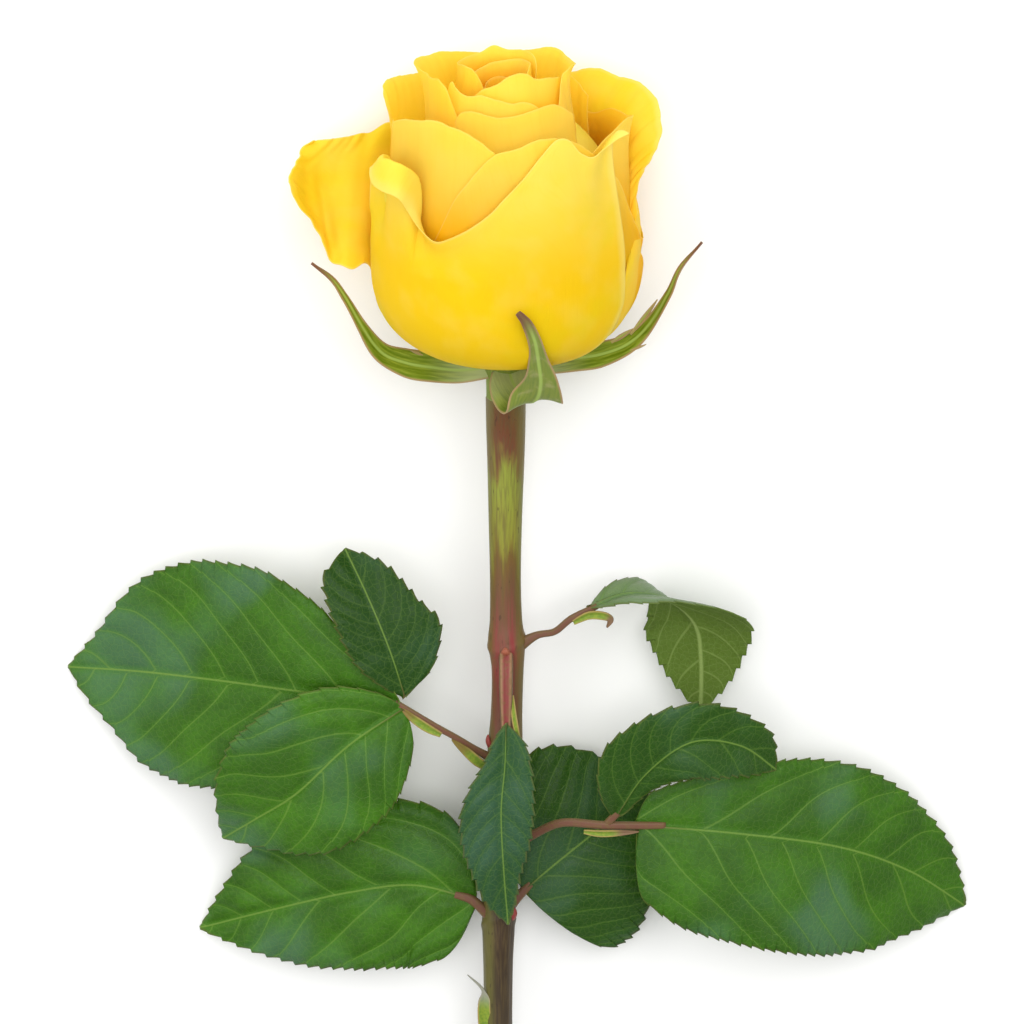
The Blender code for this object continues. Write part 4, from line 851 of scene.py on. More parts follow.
def leaflet(name, node, path, normals, left, right, finish, fold=0.1, droop=0.005, wave=0.4, quilt=0.22,
            veins=7, seed=0):
    """One leaflet. Across its midrib it is a shallow V that droops to its edges, waved along its margin and
    pillowed between its side veins, which leave the midrib at a slant and curve forward. Its teeth are a
    saw wave along the margin, pointing to the tip."""
    stations, across = 260, 53
    sizes = bpy.context.scene.rose_sizes
    depth, pitch = sizes.tooth / MM, sizes.pitch / MM
    t = np.linspace(0, 1, stations)
    middle, along, side, up = blade_frame(path, normals, t)
    s = np.concatenate([[0], np.cumsum(np.linalg.norm(np.diff(middle, axis=0), axis=1))])
    length = s[-1]
    q = np.linspace(-1, 1, across)[:, None]
    hand = np.sign(q)
    half = np.where(q < 0, through(left, t), through(right, t))
    half = np.maximum(half * np.sqrt(1 - np.clip(1 - s / BASE_ROUNDING, 0, 1) ** 2), 0.12)
    chance = np.random.default_rng(seed)
    margin = s + 0.18 * pitch * np.sin(s / 7.0 + seed)
    saw = np.mod(margin / pitch + 0.37 * hand + chance.random(), 1.0)
    rim = step(0.72, 1.0, np.abs(q)) * step(0.0, 0.06, t) * np.minimum(1, half / 3)
    x = q * half + hand * depth * (saw**1.5 - 0.35) * rim
    forward = TOOTH_LEAN * depth * saw * rim
    gap = length / (veins + 0.5)
    width = np.abs(q) * half
    edge = half - width
    forward_run = VEIN_SLANT * width + 0.5 * width * (width / np.maximum(half, 1)) ** 2
    smooth = (s - forward_run) / gap + 0.05 * np.sin(width / 2.1 + seed)
    smooth = smooth + 0.45 * np.sin(s / (0.16 * length) + 1.7 * seed + 0.8 * hand)
    phase = smooth + VEIN_STAGGER * hand
    from_vein = np.abs(np.mod(phase + 0.5, 1.0) - 0.5) * gap * VEIN_NEARNESS
    pillow = quilt * np.sin(np.pi * np.mod(phase, 1.0)) ** 0.8 * step(0.3, 2.5, width) * step(0.0, 2.0, edge)
    waves = np.sin(t * 2.6 * math.tau + hand) + 0.5 * np.sin(t * 6.1 * math.tau + 2 * hand + seed)
    lift = fold * np.sqrt(width**2 + 0.5) - droop * width**2 + wave * q**2 * waves + pillow
    lift = lift - 0.25 * np.exp(-(width / 0.9) ** 2)
    grid = (middle[None] + side[None] * x[..., None] + up[None] * lift[..., None]
            + along[None] * forward[..., None])
    wall = sizes.leaf / MM / 2 * (0.45 + 0.55 * step(0, 1.0, edge))
    rib = 0.5 * np.exp(-(width / 0.45) ** 2) * (1 - 0.75 * t)
    ridge = 0.10 * np.exp(-(from_vein / 0.22) ** 2) * step(0.3, 1.0, width) * step(0, 1.5, edge)
    grid[..., 2] = np.maximum(grid[..., 2], wall + rib)
    points, faces = shell(grid[:, ::-1], wall, wall)
    lower = len(points) // 2
    normal = unit(points[:lower] - points[lower:])
    points[lower:] -= normal * (rib + ridge)[:, ::-1].reshape(-1, 1)

    def twice(values):
        return np.tile(np.broadcast_to(values, half.shape)[:, ::-1].ravel(), 2)

    facing = 1.0 if np.dot(np.mean(normal, axis=0), np.mean(up, axis=0)) < 0 else 0.0
    readings = {
        "rib": twice(width), "edge": twice(edge), "along": twice(t), "phase": twice(smooth),
        "gap": twice(gap * VEIN_NEARNESS), "under": np.repeat([facing, 1 - facing], lower),
    }
    flat = np.stack([twice(x), twice(s) + UV_SHIFT * seed], -1) * MM
    return piece(name, points, faces, node, finish, readings, flat)


def stalk(name, node, path, radii, finish, groove=0.22):
    """A leaf stalk: circles of the given radii along a smooth path and square to it. A groove, a share of
    the radius, runs along the upper side."""
    count, sides = 70, 20
    t = np.linspace(0, 1, count)
    middle = through(path, t)
    along = unit(np.gradient(middle, axis=0))
    side = unit(np.cross(along, np.asarray(UP)))
    top = np.cross(side, along)
    turn = np.linspace(0, math.tau, sides, endpoint=False)
    from_top = np.angle(np.exp(1j * turn))
    radius = through(radii, t)[:, None] * (1 - groove * np.exp(-(from_top / GROOVE_TURN) ** 2))
    points, faces = skin(middle[:, None] + top[:, None] * (radius * np.cos(turn))[..., None]
                         + side[:, None] * (radius * np.sin(turn))[..., None])
    above = np.concatenate([np.tile(np.cos(turn), count), [0, 0]])
    return piece(name, points, faces, node, finish, {"above": above})


STIPULE_WALL = 0.13  # half the thickness of a stipule


def stipule(name, node, path, normals, width, finish, thread=1.0):
    """A narrow green wing at a leaf stalk's foot: a blade folded along its middle, which widens in a half
    sine from its foot and runs out to a thread, from the share thread of its length on."""
    t = np.linspace(0, 1, 60)
    middle, _, side, up = blade_frame(path, normals, t)
    half = width / 2 * (0.12 + np.sin(math.pi * (0.15 + 0.85 * t)) ** 0.8)
    half = half * (1 - 0.7 * step(thread, thread + 0.14, t))
    x = np.linspace(-1, 1, 11)[:, None] * half
    grid = middle[None] + side[None] * x[..., None] + up[None] * (0.4 * np.abs(x))[..., None]
    points, faces = shell(grid, STIPULE_WALL, STIPULE_WALL)
    readings = {"along": np.tile((t + 0 * x).ravel(), 2), "edge": np.tile((half - np.abs(x)).ravel(), 2)}
    return piece(name, points, faces, node, finish, readings)


# the stem's middle line: sideways place, how far along, height, and its radius
STEM_LINE = np.array([
    (-2, 110.48, 18.17, 3.6), (-2, 105.4, 17, 3.55), (-2, 98, 16.2, 3.35),
    (-2.1, 87, 15.7, 3.05), (-2.1, 76, 15.1, 2.85), (-2, 68, 14.6, 3),
    (-1.9, 63.5, 14.4, 3.45), (-1.7, 58, 14.2, 3), (-1.9, 50, 13.8, 2.95),
    (-2.2, 43, 13.5, 3.25), (-2.6, 34, 13, 3), (-3.1, 22, 12.5, 3),
    (-3.4, 10, 11.9, 3.1), (-3.5, 0, 11.4, 2.75), (-3.5, -12, 10.9, 2.6),
    (-3.3, -30, 10, 2.6), (-3, -46, 9.3, 2.65), (-2.8, -56, 8.8, 3.05),
    (-2.7, -62, 8.5, 2.75), (-2.3, -84, 7.5, 2.8), (-1.9, -104, 6.6, 2.85),
    (-1.7, -112, 6.2, 3.25), (-1.6, -118, 5.9, 2.9), (-1.2, -140, 4.7, 2.95),
    (-1, -160, 3.6, 3.05), (-0.95, -173.3, 3.1, 3.08),
])
CUT_ANGLE = math.radians(35)
CUT_RUN = 14.0       # how far up the stem the rings lean with the cut
NODES = (63.5, 43.0, 24.0, 9.0, -56.0, -112.0)
SCAR_RISE = 0.22     # how far the scar round a leaf node stands out
SCAR_WIDTH = 0.8     # half its width along the stem
SCAR_LEAN = 1.4      # how far up and down the stem it swings on its way round
CUT_RINGS = {0.97: 0.05, 0.9: 0.2, 0.7: 0.5, 0.45: 0.7, 0.2: 0.9}   # the cut's rings: size, and place inwards


def stem_skin():
    """The stem: rings along its line, a little out of round, with a scar's ridge round it at each node. Its
    last rings lean until they lie in the oblique plane of the cut, which rings of ever smaller size fill."""
    count, sides = 900, 40
    t = np.linspace(0, 1, count)
    line = through(STEM_LINE, t)
    middle = line[:, :3]
    turn = np.linspace(0, math.tau, sides, endpoint=False)
    y = middle[:, 1][:, None]
    radius = line[:, 3][:, None] * (1 + 0.02 * np.sin(2 * turn + y / 23) + 0.012 * np.sin(5 * turn + y / 41))
    radius = radius + 0.035 * np.sin(11 * turn + 2 * np.sin(y / 9)) * step(70, 40, y)
    for node in NODES:
        from_scar = y - node + SCAR_LEAN * np.cos(turn + node)
        radius = radius + SCAR_RISE * np.exp(-(from_scar / SCAR_WIDTH) ** 2)
    loops = np.stack([middle[:, 0][:, None] + radius * np.sin(turn),
                      y + 0 * turn,
                      middle[:, 2][:, None] + radius * np.cos(turn)], -1)
    end_y, end_z = middle[-1, 1], middle[-1, 2]
    leaning = np.clip(1 - (y - end_y) / CUT_RUN, 0, 1)
    loops[..., 1] += leaning * (end_z - loops[..., 2]) * math.tan(CUT_ANGLE)
    rims = np.array(list(CUT_RINGS))[:, None, None]
    heart = loops[-1].mean(0)
    loops = np.concatenate([loops, heart + (loops[-1] - heart) * rims])
    points, faces = skin(loops[:, ::-1])
    cut = np.concatenate([np.zeros(count * sides), np.repeat(list(CUT_RINGS.values()), sides), [0, 1]])
    return points, faces, cut


UPSTEM = np.array([0.0, 1.0, 0.0])


def off_stem(y, turn):
    """Middle and radius of the stem at y, the direction out of it at a turn about it in degrees from the
    top, and the direction square to that and to the stem."""
    x, z, radius = (np.interp(-y, -STEM_LINE[:, 1], STEM_LINE[:, i]) for i in (0, 2, 3))
    out = np.array([math.sin(math.radians(turn)), 0.0, math.cos(math.radians(turn))])
    return np.array([x, y, z]), radius, out, np.cross(out, UPSTEM)


def prickle(y, turn, size):
    """A hooked prickle: rings that shrink along a bent line, long in the stem's direction at the foot."""
    middle, radius, out, side = off_stem(y, turn)
    s = np.linspace(0, 1, 24)[:, None]
    line = middle + out * (radius * 0.7 + (size + radius * 0.3) * s) - UPSTEM * size * 0.6 * s**2
    around = np.linspace(0, math.tau, 16, endpoint=False)
    thick = size * (1 - s) ** 1.6 + 0.03
    return skin(line[:, None] + side * (0.2 * thick * np.cos(around))[..., None]
                + UPSTEM * (0.62 * thick * np.sin(around))[..., None])


def bud(y, turn, length, width):
    """A pointed bud that leans on the stem: rings that swell and close along a line up the stem."""
    middle, radius, out, side = off_stem(y, turn)
    s = np.linspace(0, 1, 26)[:, None]
    line = middle + out * (radius * 0.85 + 0.5 * width * np.sin(np.pi * s * 0.6)) + UPSTEM * length * s
    around = np.linspace(0, math.tau, 18, endpoint=False)
    thick = width / 2 * np.sin(np.pi * np.clip(s * 0.86 + 0.14, 0, 0.995)) ** 0.6 * (1 - 0.3 * s)
    return skin(line[:, None] + side * (thick * np.cos(around))[..., None]
                + out * (thick * 0.8 * np.sin(around))[..., None])


def stem_piece(name, points, faces, finish, **values):
    """A piece of the stem. Values are the readings it has: any of cut, bud and thorn, each 0 if not given."""
    zeros = np.zeros(len(points))
    named = {label: zeros + values.get(label, 0.0) for label in ("cut", "bud", "thorn")}
    return piece(name, points, faces, "stem", finish, named)


class RosePieces:
    """What every operator of the rose shares."""
    bl_options = {"REGISTER", "UNDO"}

    @property
    def sizes(self):
        return bpy.context.scene.rose_sizes

    @property
    def colours(self):
        return bpy.context.scene.rose_colours


class ROSE_OT_bloom(RosePieces, bpy.types.Operator):
    """Make the petals of the bloom, layer by layer, and its heart"""
    bl_idname = "rose.bloom"
    bl_label = "Bloom"

    def execute(self, context):
        colours, sizes = self.colours, self.sizes
        # Each finish is its foot colour, greenish tinge, outside and inside heights, share of light passed
        # through and the heights where that light turns green. Painted shade: the guard, inner and heart
        # petals start from the shade colour low down, the under petal keeps the darker foot colour up to 46
        # mm in its recess behind the front petal, and every inner face is darker lower down.
        tissues = {
            "petal_tissue": (colours.petal_foot, 0.3, (2, 24), (20, 48), 0.28, (8, 42)),
            "guard_petal_tissue": (colours.petal_shade_and_streak, 0.5, (-20, 90), (-20, 90), 0.3),
            "far_petal_tissue": (colours.petal_foot, 0.1, (2, 24), (26, 40), 0.62),
            "under_petal_tissue": (colours.petal_foot, 0.1, (26, 46), (20, 44)),
            "inner_petal_tissue": (colours.petal_shade_and_streak, 0.15, (27, 52), (28, 44)),
            "heart_petal_tissue": (colours.petal_shade_and_streak, 0.1, (45, 54), (47, 55)),
        }
        plain, guard, far, under, inner, heart = [
            petal_tissue(colours, sizes, name, *look) for name, look in tissues.items()]
        outer_petals(guard, plain, under)
        middle_petals(inner, far)
        heart_petals(heart)
        heart_core(plain)
        return {"FINISHED"}


class ROSE_OT_calyx(RosePieces, bpy.types.Operator):
    """Make the hip and its five sepals"""
    bl_idname = "rose.calyx"
    bl_label = "Calyx"

    def execute(self, context):
        finish = sepal_tissue(self.colours)
        hip(finish)
        sepal("left_sepal", [(-3, 0.5, -4.6), (-8.5, 1.8, -4.6), (-13.7, 3, -3.5), (-18.4, 3, -2.6),
                             (-22.8, 3.3, -0.4), (-26.3, 3.8, 4.9), (-29.2, 4.2, 10.8), (-31.8, 4.6, 14.9),
                             (-35.1, 5, 18.1)],
              [(0, 0.2, 1), (0.1, 0.4, 1), (0.5, 0.6, 0.8), (0.9, 0.4, 0.3)], 5.6, finish, fold=0.35,
              lobes=[(0.3, 1, 2.4, 0.5)], share=(0.7, 0.9, 1, 0.7, 0.38, 0.28, 0.1))
        sepal("front_sepal", [(0.5, 3, -4.4), (1.5, 7.5, -5.2), (3.6, 12, -6), (5.6, 16, -3.6),
                              (6.3, 19.4, 1), (5.9, 22.2, 6.3), (5.2, 25, 11.7), (3.8, 26.6, 16),
                              (2.2, 27.2, 18.4)],
              [(0, 1, 0.3), (0, 0.8, 0.6), (0.1, -0.1, -1), (0.1, -0.6, -0.8), (0, -0.2, -1)], 10.5, finish,
              fold=0.25, share=(0.6, 0.95, 1, 0.62, 0.3, 0.2, 0.1))
        sepal("right_sepal", [(3, -1, -4.6), (8, -1.6, -4.6), (13, -2, -4), (17.5, -2.4, -3.4),
                              (22.4, -2.9, -1.6), (26.4, -3, 2.4), (29.7, -3, 8.4), (32, -3, 13.8),
                              (35.6, -3, 18.7)],
              [(0, 0.2, 1), (-0.1, 0.4, 1), (-0.5, 0.6, 0.8), (-0.9, 0.4, 0.3)], 5, finish, fold=0.35,
              lobes=[(0.44, -1, 4.6, 1.1), (0.54, -1, 8, 1.1), (0.5, 1, 3.2, 0.5)],
              share=(0.7, 0.9, 1, 0.76, 0.46, 0.28, 0.1))
        sepal("right_back_sepal", [(1.5, -3, -4.6), (6, -8, -4.6), (11, -12.5, -3), (15.5, -17.5, 2),
                                   (17.5, -20.8, 9), (18, -22.2, 16)],
              [(0, -0.6, 1), (0, -0.8, 0.6), (-0.2, -0.9, 0.2)], 6.5, finish)
        sepal("left_back_sepal", [(-1.5, -3, -4.6), (-6, -8, -4.6), (-11, -12.5, -3), (-16, -17, 2),
                                  (-18.5, -20.4, 9.5), (-19.2, -21.8, 17.5)],
              [(0, -0.6, 1), (0, -0.8, 0.6), (0.2, -0.9, 0.2)], 6.5, finish)
        return {"FINISHED"}


class ROSE_OT_stem(RosePieces, bpy.types.Operator):
    """Make the stem with its buds, prickles, dried bract and cut end"""
    bl_idname = "rose.stem"
    bl_label = "Stem"

    def execute(self, context):
        finish = stem_bark(self.colours, self.sizes)
        points, faces, cut = stem_skin()
        stem_piece("stem_bark", points, faces, finish, cut=cut)
        buds = [(61.4, -4, 1.9, 2, 0.1), (43, -62, 3, 1.6, 0.85), (9.5, 60, 2.8, 1.7, 0.85),
                (-56, 150, 3, 2, 0.85), (-112, -40, 3.2, 2.2, 0.85)]
        for number, (y, turn, length, width, red) in enumerate(buds, 1):
            stem_piece(f"bud_{number}", *bud(y, turn, length, width), finish, bud=red, thorn=0.85 - red)
        prickles = [(-24, 70, 3.2), (-39, -95, 3.6), (-73, 35, 3.8), (-92, 150, 2.6), (-126, -60, 4),
                    (-148, 80, 3.4)]
        for number, place in enumerate(prickles, 1):
            stem_piece(f"prickle_{number}", *prickle(*place), finish, thorn=0.9)
        stipule("dried_bract", "stem",
                [(-5, -17, 11.6), (-5.8, -12.5, 12.2), (-6.1, -8, 12.6), (-6.3, -4, 12.9),
                 (-9.2, -0.9, 13.2)], [UP], 2.2, stipule_skin("#8E8E80"), thread=0.62)
        return {"FINISHED"}


class ROSE_OT_left_leaves(RosePieces, bpy.types.Operator):
    """Make the compound leaf and the single leaf on the left"""
    bl_idname = "rose.left_leaves"
    bl_label = "Left leaves"

    def execute(self, context):
        green = leaf_tissue(self.colours, self.sizes, "leaf_tissue", 0.8)
        deep = leaf_tissue(self.colours, self.sizes, "deep_leaf_tissue", 0, ("#16380A", 0.5), veined=0.4)
        quilted = leaf_tissue(self.colours, self.sizes, "quilted_leaf_tissue", 0.9, quilted=2.2)
        skin_red = stalk_skin(self.colours)
        green_wing = stipule_skin("#7A6A34")
        node = "left_compound_leaf"
        stalk("left_stalk", node, [(-3.2, 40.3, 14.2), (-7, 42.9, 15.8), (-11.3, 46.1, 17.8),
                                   (-15.4, 48.7, 18.8), (-22.5, 53, 18.9)],
              (1.2, 0.7, 0.6, 0.62, 0.7), skin_red)
        leaflet("left_terminal_leaflet", node,
                [(-21.5, 53, 18.9), (-38, 54.6, 17.4), (-55, 55.7, 12.6), (-70, 55.9, 6.6),
                 (-83.7, 55.3, 0.8)], [UP, (-0.1, 0, 1), (-0.25, 0, 1)],
                (1.5, 8, 14.6, 18.8, 20.6, 20.4, 17.6, 9.4, 0.2),
                (1.5, 9, 16.6, 21.4, 22.4, 21, 16.8, 7.6, 0.2), green, wave=0.5, seed=31)
        leaflet("left_upper_leaflet", node,
                [(-20.6, 54, 18.8), (-23.6, 63.5, 19), (-27.6, 73, 17.2), (-31.7, 81, 13.8)],
                [(0.1, 0, 1), (0.3, 0, 1)], (0.8, 3.8, 6.2, 7.4, 7.7, 7.7, 7.2, 6, 0.2),
                (0.8, 6.2, 9, 10.5, 8.6, 7.3, 5.9, 3.6, 0.2), deep, fold=0.2,
                droop=0.006, wave=0.3, veins=6, seed=32)
        leaflet("left_lower_leaflet", node,
                [(-21, 52, 19.2), (-31, 45.4, 20.6), (-40.6, 36, 19.4), (-48.4, 30.2, 16.4),
                 (-54.7, 25.4, 12.6)], [UP, (-0.1, -0.2, 1)],
                (5, 11, 13.8, 14.4, 13.4, 11, 8, 3.6, 0.2),
                (3, 9, 13, 15.4, 15.6, 14.4, 11, 5.8, 0.2), green,
                fold=0.12, droop=0.006, wave=0.3, veins=6, seed=33)
        stipule("left_stipule", node,
                [(-4.2, 39.2, 14.9), (-7, 41, 16.2), (-9.6, 43.6, 17.3), (-12, 45.8, 18.2)],
                [(0.2, -0.3, 1)], 1.7, green_wing)
        stipule("left_stalk_wing", node,
                [(-14, 46.9, 18.9), (-16.6, 48.4, 19.2), (-19.4, 50.4, 19.3), (-21.6, 52.4, 19.2)],
                [(0.2, -0.3, 1)], 1.5, green_wing)
        node = "lower_left_leaf"
        stalk("lower_left_stalk", node, [(-4, 8.5, 11.9), (-6, 11.4, 13), (-8.6, 13.8, 13.2),
                                         (-11.5, 14.6, 12.8)], (1.1, 1, 0.9, 0.75), skin_red)
        leaflet("lower_left_blade", node,
                [(-7.6, 13.6, 13), (-19, 16.4, 12.6), (-31, 14.6, 11), (-45, 10.4, 7.6),
                 (-59.5, 5.2, 2.6)], [UP, (0, 0.05, 1)],
                (10.5, 15, 16, 16, 15.2, 13.8, 11, 6, 0.2),
                (3, 12, 15.8, 16, 15.4, 14, 12.6, 6.8, 0.2), quilted,
                fold=0.14, droop=0.010, quilt=0.5, veins=6, seed=34)
        return {"FINISHED"}


class ROSE_OT_right_leaves(RosePieces, bpy.types.Operator):
    """Make the compound leaf, the arching leaf and the leaf behind the stem on the right"""
    bl_idname = "rose.right_leaves"
    bl_label = "Right leaves"

    def execute(self, context):
        green = leaf_tissue(self.colours, self.sizes, "right_leaf_tissue", 0.7)
        deep = leaf_tissue(self.colours, self.sizes, "back_leaf_tissue", 0.2, ("#1C3C08", 0.35), veined=0.6)
        skin_red = stalk_skin(self.colours)
        node = "right_compound_leaf"
        stalk("right_stalk", node, [(-1.4, 23.6, 13.1), (3.4, 27, 15.2), (8.6, 29.7, 17.4),
                                    (16.7, 29.5, 18.6), (27.5, 29.3, 17.8)],
              (1.2, 0.85, 0.8, 0.8, 0.7), skin_red)
        stalk("right_side_stalk", node, [(16.4, 29.4, 18.4), (18.6, 32.2, 19.4)], (0.8, 0.7), skin_red)
        leaflet("right_terminal_leaflet", node,
                [(22.2, 29.4, 18), (41, 27.6, 17.4), (59.6, 23.9, 13.2), (73, 17.8, 7.6),
                 (84.2, 9, 0.6)], [(0, 0.1, 1), (0.1, 0.25, 1), (0.3, 0.2, 1)],
                (5.6, 9.6, 12.4, 15, 15.4, 13.8, 11, 6.4, 0.2),
                (12.5, 18.4, 20.2, 21, 20.6, 19, 15.6, 9, 0.2), green, fold=0.08,
                droop=0.007, wave=0.5, seed=35)
        leaflet("right_side_leaflet", node,
                [(18, 31, 19), (23.6, 40.4, 22.6), (32, 46.8, 23.8), (41, 45.6, 21.6),
                 (48, 39.6, 16.4)], [(0.2, -0.5, 1), (0.1, -0.1, 1), (0.5, 0.1, 1)],
                (1.4, 6.6, 9.8, 8.9, 7.8, 6.8, 5.6, 4.4, 0.2),
                (0.8, 2.4, 4.2, 6.3, 7.6, 7.4, 6.2, 4.2, 0.2), deep, fold=0.12, droop=0.008,
                wave=0.2, seed=36)
        node = "upper_right_leaf"
        # painted sheen: a pale grey-green laid over the arching leaf stands for the light it reflects
        pale = leaf_tissue(self.colours, self.sizes, "arching_leaf_tissue", 0.5, ("#8E9E7A", 0.45))
        stalk("upper_right_stalk", node, [(-0.4, 62.4, 14.6), (3.6, 64.8, 15), (7, 65.7, 15.5),
                                          (10.1, 68.3, 16), (14.8, 70.6, 15.8)],
              (1.5, 0.75, 0.65, 0.65, 0.6), skin_red)
        leaflet("upper_right_blade", node,
                [(13.2, 70.3, 15.8), (20.5, 72.6, 15.2), (28, 71, 13.2), (33, 65.8, 10),
                 (34.2, 58, 7.4), (34.2, 47.9, 5.8)],
                [(0, 0.85, 0.5), (0.1, 0.95, 0.13), (0.3, 0.9, -0.35), (0.1, 0.4, -0.95), (0, 0.05, -1)],
                (0.8, 3.6, 6.2, 9.6, 11.4, 11, 9, 6, 0.3),
                (0.8, 3, 5.4, 8.4, 10.4, 10.4, 8.6, 5.6, 0.3), pale, fold=0.15, droop=0.004,
                wave=0.2, seed=37)
        green_wing = stipule_skin("#7A6048")
        stipule("upper_right_stipule", node,
                [(10.4, 67.6, 16.2), (13.2, 69, 16.4), (15.8, 69, 16.5), (17.2, 68.2, 16.4),
                 (16.6, 66.6, 16.3)], [(0, -0.2, 1)], 1.5, green_wing)
        stipule("right_stipule", "right_compound_leaf",
                [(12.4, 28.4, 18.9), (15.4, 28.2, 19.3), (19, 28.3, 19.3), (22.6, 28.4, 19)],
                [(0, -0.2, 1)], 1.2, green_wing)
        node = "back_right_leaf"
        stalk("back_right_stalk", node, [(-3, 8.6, 11), (-0.6, 12, 9), (2.6, 15.6, 8.6)],
              (1.1, 0.95, 0.8), skin_red)
        leaflet("back_right_blade", node,
                [(1.2, 14.2, 8.8), (7, 19.4, 9.2), (14, 25, 8.2), (20, 29.6, 5.6),
                 (24.4, 33, 1.8)], [(0.1, 0, 1), (0.2, 0.1, 1)],
                (2.6, 8.4, 13.4, 17.4, 19.2, 17.6, 13.8, 8, 0.3),
                (15, 20, 21, 20.4, 17.8, 13.4, 8.6, 4, 0.3), deep,
                fold=0.06, droop=0.008, wave=0.3, veins=6, seed=38)
        return {"FINISHED"}


class ROSE_OT_front_leaf(RosePieces, bpy.types.Operator):
    """Make the small dark leaf that hangs in front of the stem"""
    bl_idname = "rose.front_leaf"
    bl_label = "Front leaf"

    def execute(self, context):
        # painted sheen: a blue-grey cast laid over the dark front leaf stands for the light it reflects
        finish = leaf_tissue(self.colours, self.sizes, "front_leaf_tissue", 0.15, ("#284A3A", 0.5),
                             veined=0.45)
        node = "front_leaf"
        stalk("front_stalk", node, [(-2, 62.6, 16.4), (-2, 59.4, 18.9), (-2, 54, 19.6),
                                    (-2, 48, 19.6)], (1.3, 1.3, 1.2, 0.9),
              stalk_skin(self.colours, "scar_skin", "#7E3C38", 0.4), groove=0.5)
        stipule("front_stipule", node,
                [(-0.9, 54.5, 19.3), (-0.5, 50.6, 20), (0.2, 46.5, 20.1), (0.9, 42.4, 19.9)], [UP], 0.9,
                stipule_skin("#8A9A4A"))
        leaflet("front_blade", node,
                [(-2, 49.5, 20), (-2.2, 42, 21.8), (-2.9, 33, 22.2), (-2.4, 21, 20.4),
                 (-1.6, 10.2, 17.6)], [UP, UP], (0.5, 3.7, 4.9, 5.8, 6, 5.2, 3.2, 1.9, 0.2),
                (0.5, 2.5, 4, 5.9, 7.5, 7.4, 5.8, 3.8, 0.2), finish, fold=0.3,
                droop=0.02, wave=0.2, veins=8, seed=39)
        return {"FINISHED"}


# the stage, set by the photo's view
VIEW_TILT = math.radians(13)      # how far the eye leans towards the bloom from straight above
EYE_DISTANCE = 1400.0
AIM = (-0.9, 88.4, 16.0)
VIEW_WIDTH = 188.0                # what the picture spans at the aim
SENSOR = 36.0
FLOOR_REACH = 4.0                 # metres from the middle to the floor's edges
SKY_STRENGTH = 0.62

# the lamps: name, place and aim in metres, width in metres, power in watts
LAMPS = (
    ("key_light", (0.35, 0.65, 1.2), (0, 0.06, 0), 1.0, 9.5),
    ("fill_light", (-0.9, 0.1, 0.9), (0, 0.06, 0), 1.2, 5.0),
    ("front_light", (-0.1, 0.2, 1.5), (0, 0.08, 0), 0.6, 4.2),
    ("top_light", (-0.45, 1.0, 0.5), (0, 0.16, 0.03), 0.5, 2.4),
)


def soft_lamp(name, place, aim, size, power):
    """A square soft light at a place, turned to its aim, in metres."""
    lamp = bpy.data.lights.new(name, "AREA")
    lamp.energy = power
    lamp.size = size
    made = bpy.data.objects.new(name, lamp)
    made.location = place
    bpy.context.scene.collection.objects.link(made)
    spot = made.location.copy()
    spot.x, spot.y, spot.z = aim
    made.rotation_euler = (spot - made.location).to_track_quat("-Z", "Y").to_euler()


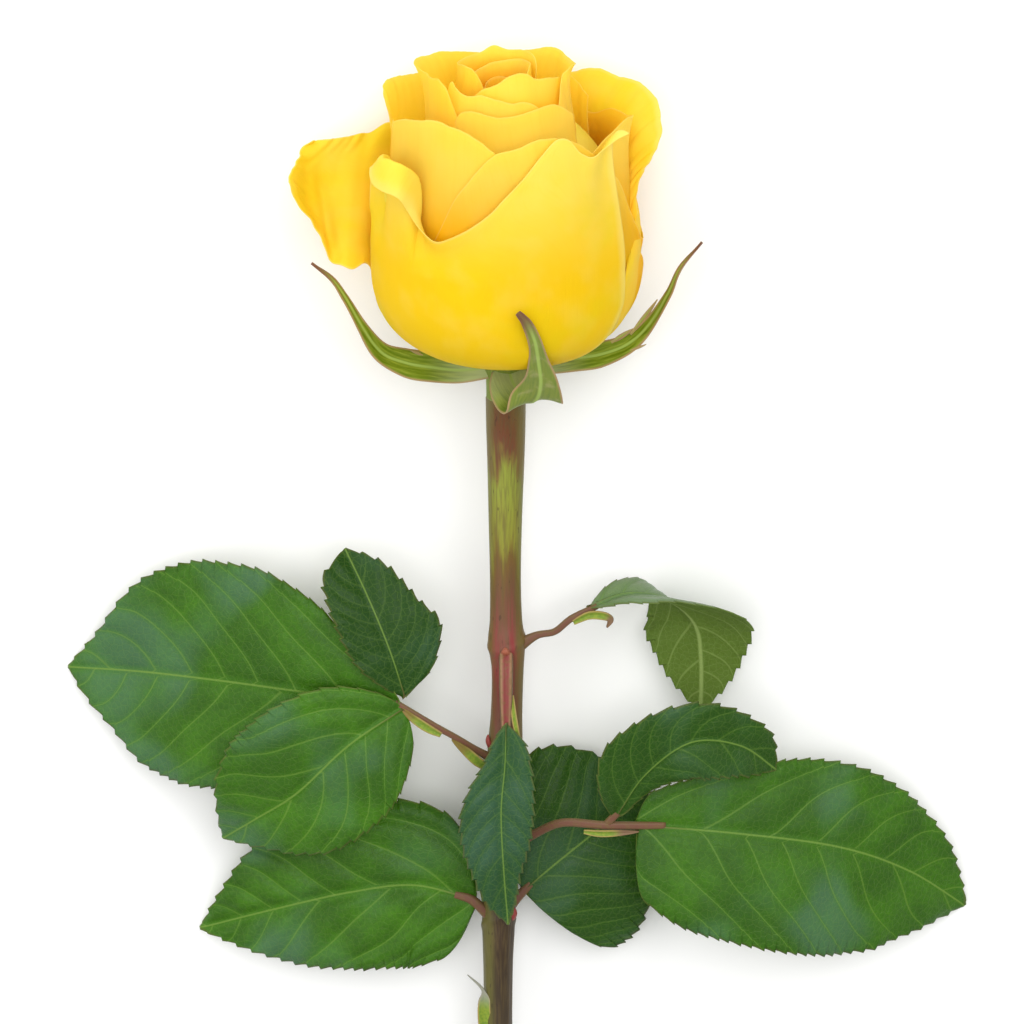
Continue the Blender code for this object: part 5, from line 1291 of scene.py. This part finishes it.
class ROSE_OT_stage(RosePieces, bpy.types.Operator):
    """Make the floor, the soft light and the camera"""
    bl_idname = "rose.stage"
    bl_label = "Stage"

    def execute(self, context):
        scene = bpy.context.scene
        mesh = bpy.data.meshes.new("floor")
        corners = [(x * FLOOR_REACH, y * FLOOR_REACH, 0) for x, y in ((-1, -1), (1, -1), (1, 1), (-1, 1))]
        mesh.from_pydata(corners, [], [(0, 1, 2, 3)])
        mesh.materials.append(floor_paint())
        floor = bpy.data.objects.new("floor", mesh)
        scene.collection.objects.link(floor)
        for lamp in LAMPS:
            soft_lamp(*lamp)
        world = bpy.data.worlds.new("studio")
        world.use_nodes = True
        background = world.node_tree.nodes["Background"]
        background.inputs["Color"].default_value = (1.0, 1.0, 1.0, 1.0)
        background.inputs["Strength"].default_value = SKY_STRENGTH
        scene.world = world
        scene.view_settings.view_transform = "Standard"
        self.camera(scene)
        return {"FINISHED"}

    def camera(self, scene):
        """The camera looks down on the rose as the photo looks at it: upright in the picture is along
        the stem."""
        lens = bpy.data.cameras.new("camera")
        lens.sensor_width = SENSOR
        lens.lens = SENSOR * EYE_DISTANCE / VIEW_WIDTH
        lens.clip_start = 0.01
        eye = bpy.data.objects.new("camera", lens)
        back = np.array([0.0, math.sin(VIEW_TILT), math.cos(VIEW_TILT)])
        eye.location = (np.array(AIM) + back * EYE_DISTANCE) * MM
        eye.rotation_euler = (-VIEW_TILT, 0, 0)
        scene.collection.objects.link(eye)
        scene.camera = eye


class ROSE_PT_panel(bpy.types.Panel):
    """Lists the rose's pieces and settings"""
    bl_label = "Cut rose"
    bl_idname = "ROSE_PT_panel"
    bl_space_type = "VIEW_3D"
    bl_region_type = "UI"
    bl_category = "Rose"

    def draw(self, context):
        for operator in OPERATORS:
            self.layout.operator(operator.bl_idname)
        for group in (context.scene.rose_sizes, context.scene.rose_colours):
            for name in group.bl_rna.properties.keys():
                if name not in ("rna_type", "name"):
                    self.layout.prop(group, name)


OPERATORS = (ROSE_OT_bloom, ROSE_OT_calyx, ROSE_OT_stem, ROSE_OT_left_leaves, ROSE_OT_right_leaves,
             ROSE_OT_front_leaf, ROSE_OT_stage)
CLASSES = (RoseSizes, RoseColours, *OPERATORS, ROSE_PT_panel)


def register():
    for item in CLASSES:
        bpy.utils.register_class(item)
    bpy.types.Scene.rose_sizes = bpy.props.PointerProperty(type=RoseSizes)
    bpy.types.Scene.rose_colours = bpy.props.PointerProperty(type=RoseColours)


def unregister():
    del bpy.types.Scene.rose_colours
    del bpy.types.Scene.rose_sizes
    for item in reversed(CLASSES):
        bpy.utils.unregister_class(item)


def main():
    register()
    for operator in OPERATORS:
        group, name = operator.bl_idname.split(".")
        getattr(getattr(bpy.ops, group), name)()


if __name__ == "__main__":
    main()
